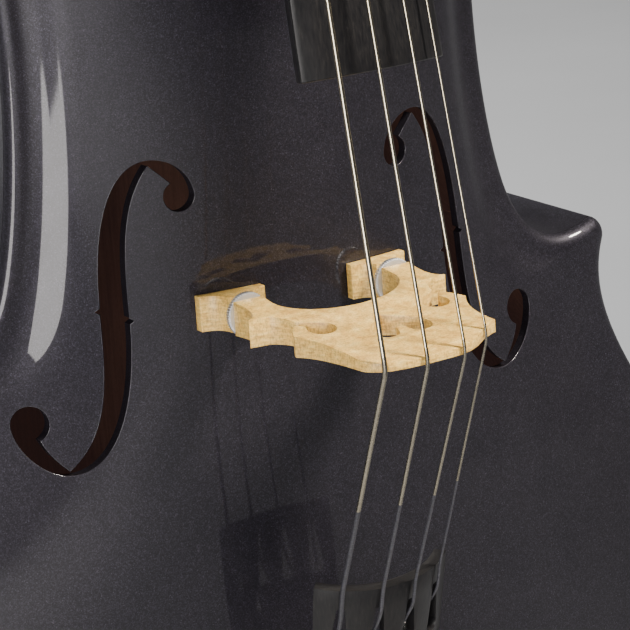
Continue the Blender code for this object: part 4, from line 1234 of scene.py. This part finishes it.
def teardrop():
    """A string hole, round at the low end and pointed towards the bridge, in (across, down)."""
    centre, radius = SLOT_PLACE + 4, 3.6
    turns = [math.radians(-115 + 230 * i / 24) for i in range(25)]
    points = [(radius * math.sin(a), -(centre + radius * math.cos(a))) for a in turns]
    return points + [(1.5, -(SLOT_PLACE - 14)), (-1.5, -(SLOT_PLACE - 14))]


def tuner_frame(x, v):
    """On the tailpiece's surface: local Z out of it and local Y up towards the bridge."""
    point, out = tail_surface(x, v)
    up = (tail_point(0) - tail_point(10)).normalized()
    return axes(point, up.cross(out), out)


def lever_axle(place):
    """On a tuner lever's pivot, with local Z along its pin."""
    pivot = Matrix.Translation((0, PIVOT_OFFSET * MM, LEVER_DEPTH * MM))
    return place @ pivot @ Matrix.Rotation(math.pi / 2, 4, "Y")


def make_tailpiece():
    places = [TAIL_LENGTH * i / 30 for i in range(31)]
    tailpiece = loft("look_tailpiece", [tail_section(v) for v in places])
    web = loft("tuner_web", [tail_section(v, WEB_DEPTH, 2.0, 0.92) for v in WEB_SPAN])
    combine(tailpiece, [web], "UNION")
    low, high = TUNER_PLACE - WEB_SPAN[1] - 3, TUNER_PLACE - WEB_SPAN[0] + 3
    slot = [(-2.6, low), (2.6, low), (2.6, high), (-2.6, high)]
    cutters = []
    for k in range(len(STRING_NAMES)):
        string_hole = tuner_frame((k - 1.5) * TAIL_SPACING, 0)
        cutters.append(slab("string_hole", teardrop(), string_hole, 30))
        place = tuner_frame((k - 1.5) * TUNER_SPACING, TUNER_PLACE)
        cutters.append(drill(2.3, 6, -9, place))
        lowered = place @ Matrix.Translation((0, 0, -14.7 * MM))
        cutters.append(slab("lever_slot", slot, lowered, 10.4))
        cutters.append(drill(1.2, 4.2, -4.2, lever_axle(place), 24))
    down = tail_point(0, 1) - tail_point(0)
    for sign in (-1, 1):
        place = axes(tail_point(TAIL_LENGTH - 12, -4.0, sign * CORD_OFFSET), (1, 0, 0), down)
        cutters.append(drill(2.2, 20, -20, place))
    combine(tailpiece, cutters, "DIFFERENCE")
    bake(bevel(tailpiece, 0.5, 2, 40))
    finish_piece(tailpiece, "ebony", angle=35)
    for k, name in enumerate(STRING_NAMES):
        make_tuner(name, tuner_frame((k - 1.5) * TUNER_SPACING, TUNER_PLACE))


def make_tuner(name, place):
    """A knurled screw, the lever it tilts, and the pin the lever hangs on."""
    head = [(0, 9.3), (2.9, 9.5), (3.9, 9.3), (4.4, 8.8), (4.4, 3.0), (4.0, 2.5), (2.6, 2.0)]
    head += [(2.2, 1.4), (2.0, 1.2), (2.0, -9.0), (1.3, -9.8), (0, -9.8)]
    screw = turned(f"look_tuner_screw_{name}", head, place, knurl=4.2, teeth=30, depth=0.3)
    finish_piece(screw, "polished", body=f"tuner_screw_{name}")
    half = [(2.0, -PIVOT_OFFSET - 3), (2.0, 6.0), (2.6, 7.5), (2.6, 12.0), (1.3, 12.0), (1.3, 7.0)]
    axle = lever_axle(place)
    pivot = axle @ Matrix.Rotation(-math.pi / 2, 4, "Y")
    lever = slab(f"look_tuner_lever_{name}", half + other_side(half), pivot, 3.6)
    combine(lever, [drill(1.25, 8, -8, axle, 24)], "DIFFERENCE")
    bake(bevel(lever, 0.25, 2, 30))
    finish_piece(lever, "polished", body=f"tuner_lever_{name}")
    rounded = [(0, 4.0), (0.8, 4.0), (1.0, 3.8)]
    rounded += [(radius, -height) for radius, height in reversed(rounded)]
    finish_piece(turned(f"look_tuner_pin_{name}", rounded, axle, 24), "polished")


def cord_strand(sign):
    """From a hole in the tailpiece over the saddle to one side of the endpin's plug."""
    x = sign * CORD_OFFSET
    in_tailpiece = ((12, -0.6), (12, -7.4), (1, -7.6))
    strand = [tail_point(TAIL_LENGTH - above, lift, x) for above, lift in in_tailpiece]
    strand += [world(x, z, n) for z, n in ((-346.4, -10.7), (-354, -11.0), (-358.4, -15.0))]
    beside_plug = ((8.0, -54), (13.6, -6), (LOOP_RADIUS, 0))
    return strand + [from_middle(sign * side, LOOP_PLACE, y) for side, y in beside_plug]


def make_tail_cord():
    around = []
    for i in range(1, 24):
        angle = math.pi + math.pi * i / 24
        across, back = LOOP_RADIUS * math.cos(angle), -LOOP_RADIUS * math.sin(angle)
        around.append(from_middle(across, LOOP_PLACE, back))
    path = rounded_path(cord_strand(-1) + around + cord_strand(1)[::-1], 3.5)
    finish_piece(tube("look_tail_cord", path, CORD_RADIUS, 4), "cord", angle=60)


def make_endpin():
    bottom = -BODY_BELOW_BRIDGE
    inner = PLUG_HOLE - 0.6
    profile = [(PLUG_BORE, 34), (inner - 2.8, 34), (inner - 2.2, 33.4), (inner, -GAP), (12.0, -GAP)]
    profile += [(12.0, -6.0), (12.4, -6.6), (14.4, -7.2), (15.0, -8.0), (15.0, -17.2)]
    profile += [(14.5, -18.2), (13.0, -19.5), (12.0, -20.0), (PLUG_BORE, -20)]
    profile = [(radius, bottom + height) for radius, height in profile]
    plug = ring_solid("look_endpin_plug", profile, Matrix.Translation(from_middle(0, 0, 0)))
    side = axes(from_middle(0, bottom - 12.6, 0), (0, 0, 1), (1, 0, 0))
    combine(plug, [drill(2.3, 20, 3, side)], "DIFFERENCE")
    finish_piece(plug, "ebony")
    screw = [(0, 26.9), (4.6, 27), (5.6, 26.7), (6.2, 26.0), (6.2, 20.2), (5.7, 19.4), (3.4, 18.6)]
    screw += [(3.2, 18.2), (3.2, 16.1), (2.0, 15.8), (2.0, 6.2), (1.2, 5.4), (0, 5.3)]
    knob = turned("look_endpin_screw", screw, side, knurl=6.0, teeth=34, depth=0.35)
    finish_piece(knob, "polished", body="endpin_screw")
    ground = Matrix.Identity(4)
    top, r = PIN_OUT + PIN_INSIDE, PIN_RADIUS
    rod = [(0, top), (r - 1.0, top), (r, top - 1.0), (r, 8.3), (0, 8.3)]
    finish_piece(turned("look_endpin_rod", rod, ground), "polished", body="endpin")
    t, h = TIP_RADIUS, TIP_HEIGHT
    cup = [(0, 8.0), (r + 0.2, 8.0), (r + 0.2, h - 0.4), (r + 0.5, h), (t - 1.8, h)]
    cup += [(t - 1.2, h - 0.5), (t - 0.9, h - 3), (t - 0.9, h - 5), (t - 0.4, h - 5.6)]
    cup += [(t - 0.2, 6), (t, 4), (t, 2.2), (t - 0.6, 0.8), (t - 1.6, 0), (0, 0)]
    finish_piece(turned("look_endpin_tip", cup, ground), "rubber", body="endpin")


# CAD nodes that stay


def dress_cad_nodes():
    """Glued-in pieces keep their CAD shape, with softened edges and the inner wood's finish."""
    for name, node in frame["nodes"].items():
        if node.hide_render:
            continue
        weld = node.modifiers.new("Joined", "WELD")
        weld.merge_threshold = 1e-5
        outside = name in ("nut", "saddle")
        bevel(node, 0.5 if outside else 0.8, 2, 30)
        node.data.materials.clear()
        node.data.materials.append(MATS["ebony" if outside else "inner"])
        node.data.shade_smooth()


# Stage


def make_floor():
    mesh = bpy.data.meshes.new("floor")
    r = FLOOR_REACH
    mesh.from_pydata([(-r, -r, 0), (r, -r, 0), (r, r, 0), (-r, r, 0)], [], [(0, 1, 2, 3)])
    look = Look("pale_floor")
    tone = look.ramp(look.noise(look.stretched((2, 2, 2))), (0.3, 0.70), (0.7, 0.74))
    look.set(Base_Color=tone, Roughness=0.85)
    mesh.materials.append(look.material)
    new_object("floor", mesh)


def add_light(kind, name, place, target, power, colour, **settings):
    """A light at place that faces target; its other settings go by Blender's names."""
    lamp = bpy.data.lights.new(name, kind)
    lamp.energy = power
    lamp.color = colour
    for key, value in settings.items():
        setattr(lamp, key, value)
    light = new_object(name, lamp)
    light.visible_camera = False
    aim = Vector(target) - Vector(place)
    turn = aim.to_track_quat("-Z", "Y").to_matrix().to_4x4()
    light.matrix_world = Matrix.Translation(place) @ turn


def make_lights():
    bridge = world(0, 0, 40)
    place = bridge + Vector(MAIN_DIRECTION) * MAIN_DISTANCE
    cone = {"shadow_soft_size": 0.30, "spot_size": math.radians(35), "spot_blend": 0.6}
    add_light("SPOT", "main", place, bridge, MAIN_POWER, (1.0, 0.93, 0.82), **cone)
    place = bridge + Vector(LEFT_DIRECTION) * LEFT_DISTANCE
    disk = {"shape": "DISK", "size": 1.3}
    add_light("AREA", "left_panel", place, bridge, LEFT_POWER, (1.0, 0.97, 0.94), **disk)
    # A pool of light on the floor, which the belly's clear coat mirrors.
    x, y = POOL_PLACE
    cone = {"shadow_soft_size": 0.25, "spot_size": math.radians(80), "spot_blend": 1.0}
    above = (x, y, POOL_HEIGHT)
    add_light("SPOT", "floor_pool", above, (x, y, 0), POOL_POWER, (1.0, 0.97, 0.97), **cone)
    disk = {"shape": "DISK", "size": 2.4}
    add_light("AREA", "behind", (-1.6, 3.0, 3.2), (1.4, 2.4, 0), BEHIND_POWER, (1, 1, 1), **disk)
    make_sky()


def make_sky():
    """A dim even surround, which looks paler where it is seen directly beyond the floor."""
    sky = bpy.data.worlds.new("studio")
    sky.use_nodes = True
    nodes, links = sky.node_tree.nodes, sky.node_tree.links
    seen = nodes.new("ShaderNodeLightPath")
    strength = nodes.new("ShaderNodeMapRange")
    strength.inputs["To Min"].default_value = SKY_LIGHT
    strength.inputs["To Max"].default_value = SKY_SEEN
    links.new(seen.outputs["Is Camera Ray"], strength.inputs["Value"])
    nodes["Background"].inputs["Color"].default_value = (0.93, 0.94, 0.96, 1)
    links.new(strength.outputs["Result"], nodes["Background"].inputs["Strength"])
    bpy.context.scene.world = sky


def make_camera():
    lens = bpy.data.cameras.new("camera")
    lens.sensor_width = 36.0
    lens.angle = CAMERA_FIELD
    camera = new_object("camera", lens)
    camera.matrix_world = axes(Vector(CAMERA_PLACE), CAMERA_RIGHT, CAMERA_BACK)
    bpy.context.scene.camera = camera


# The scene

for old in list(bpy.data.objects):
    bpy.data.objects.remove(old)
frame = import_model()
MATS = make_materials()
make_top()
make_back()
make_ribs()
make_fingerboard()
make_neck()
make_pegs()
make_strings()
make_bridge()
make_feet_and_wheels()
make_tailpiece()
make_tail_cord()
make_endpin()
dress_cad_nodes()
make_floor()
make_lights()
make_camera()
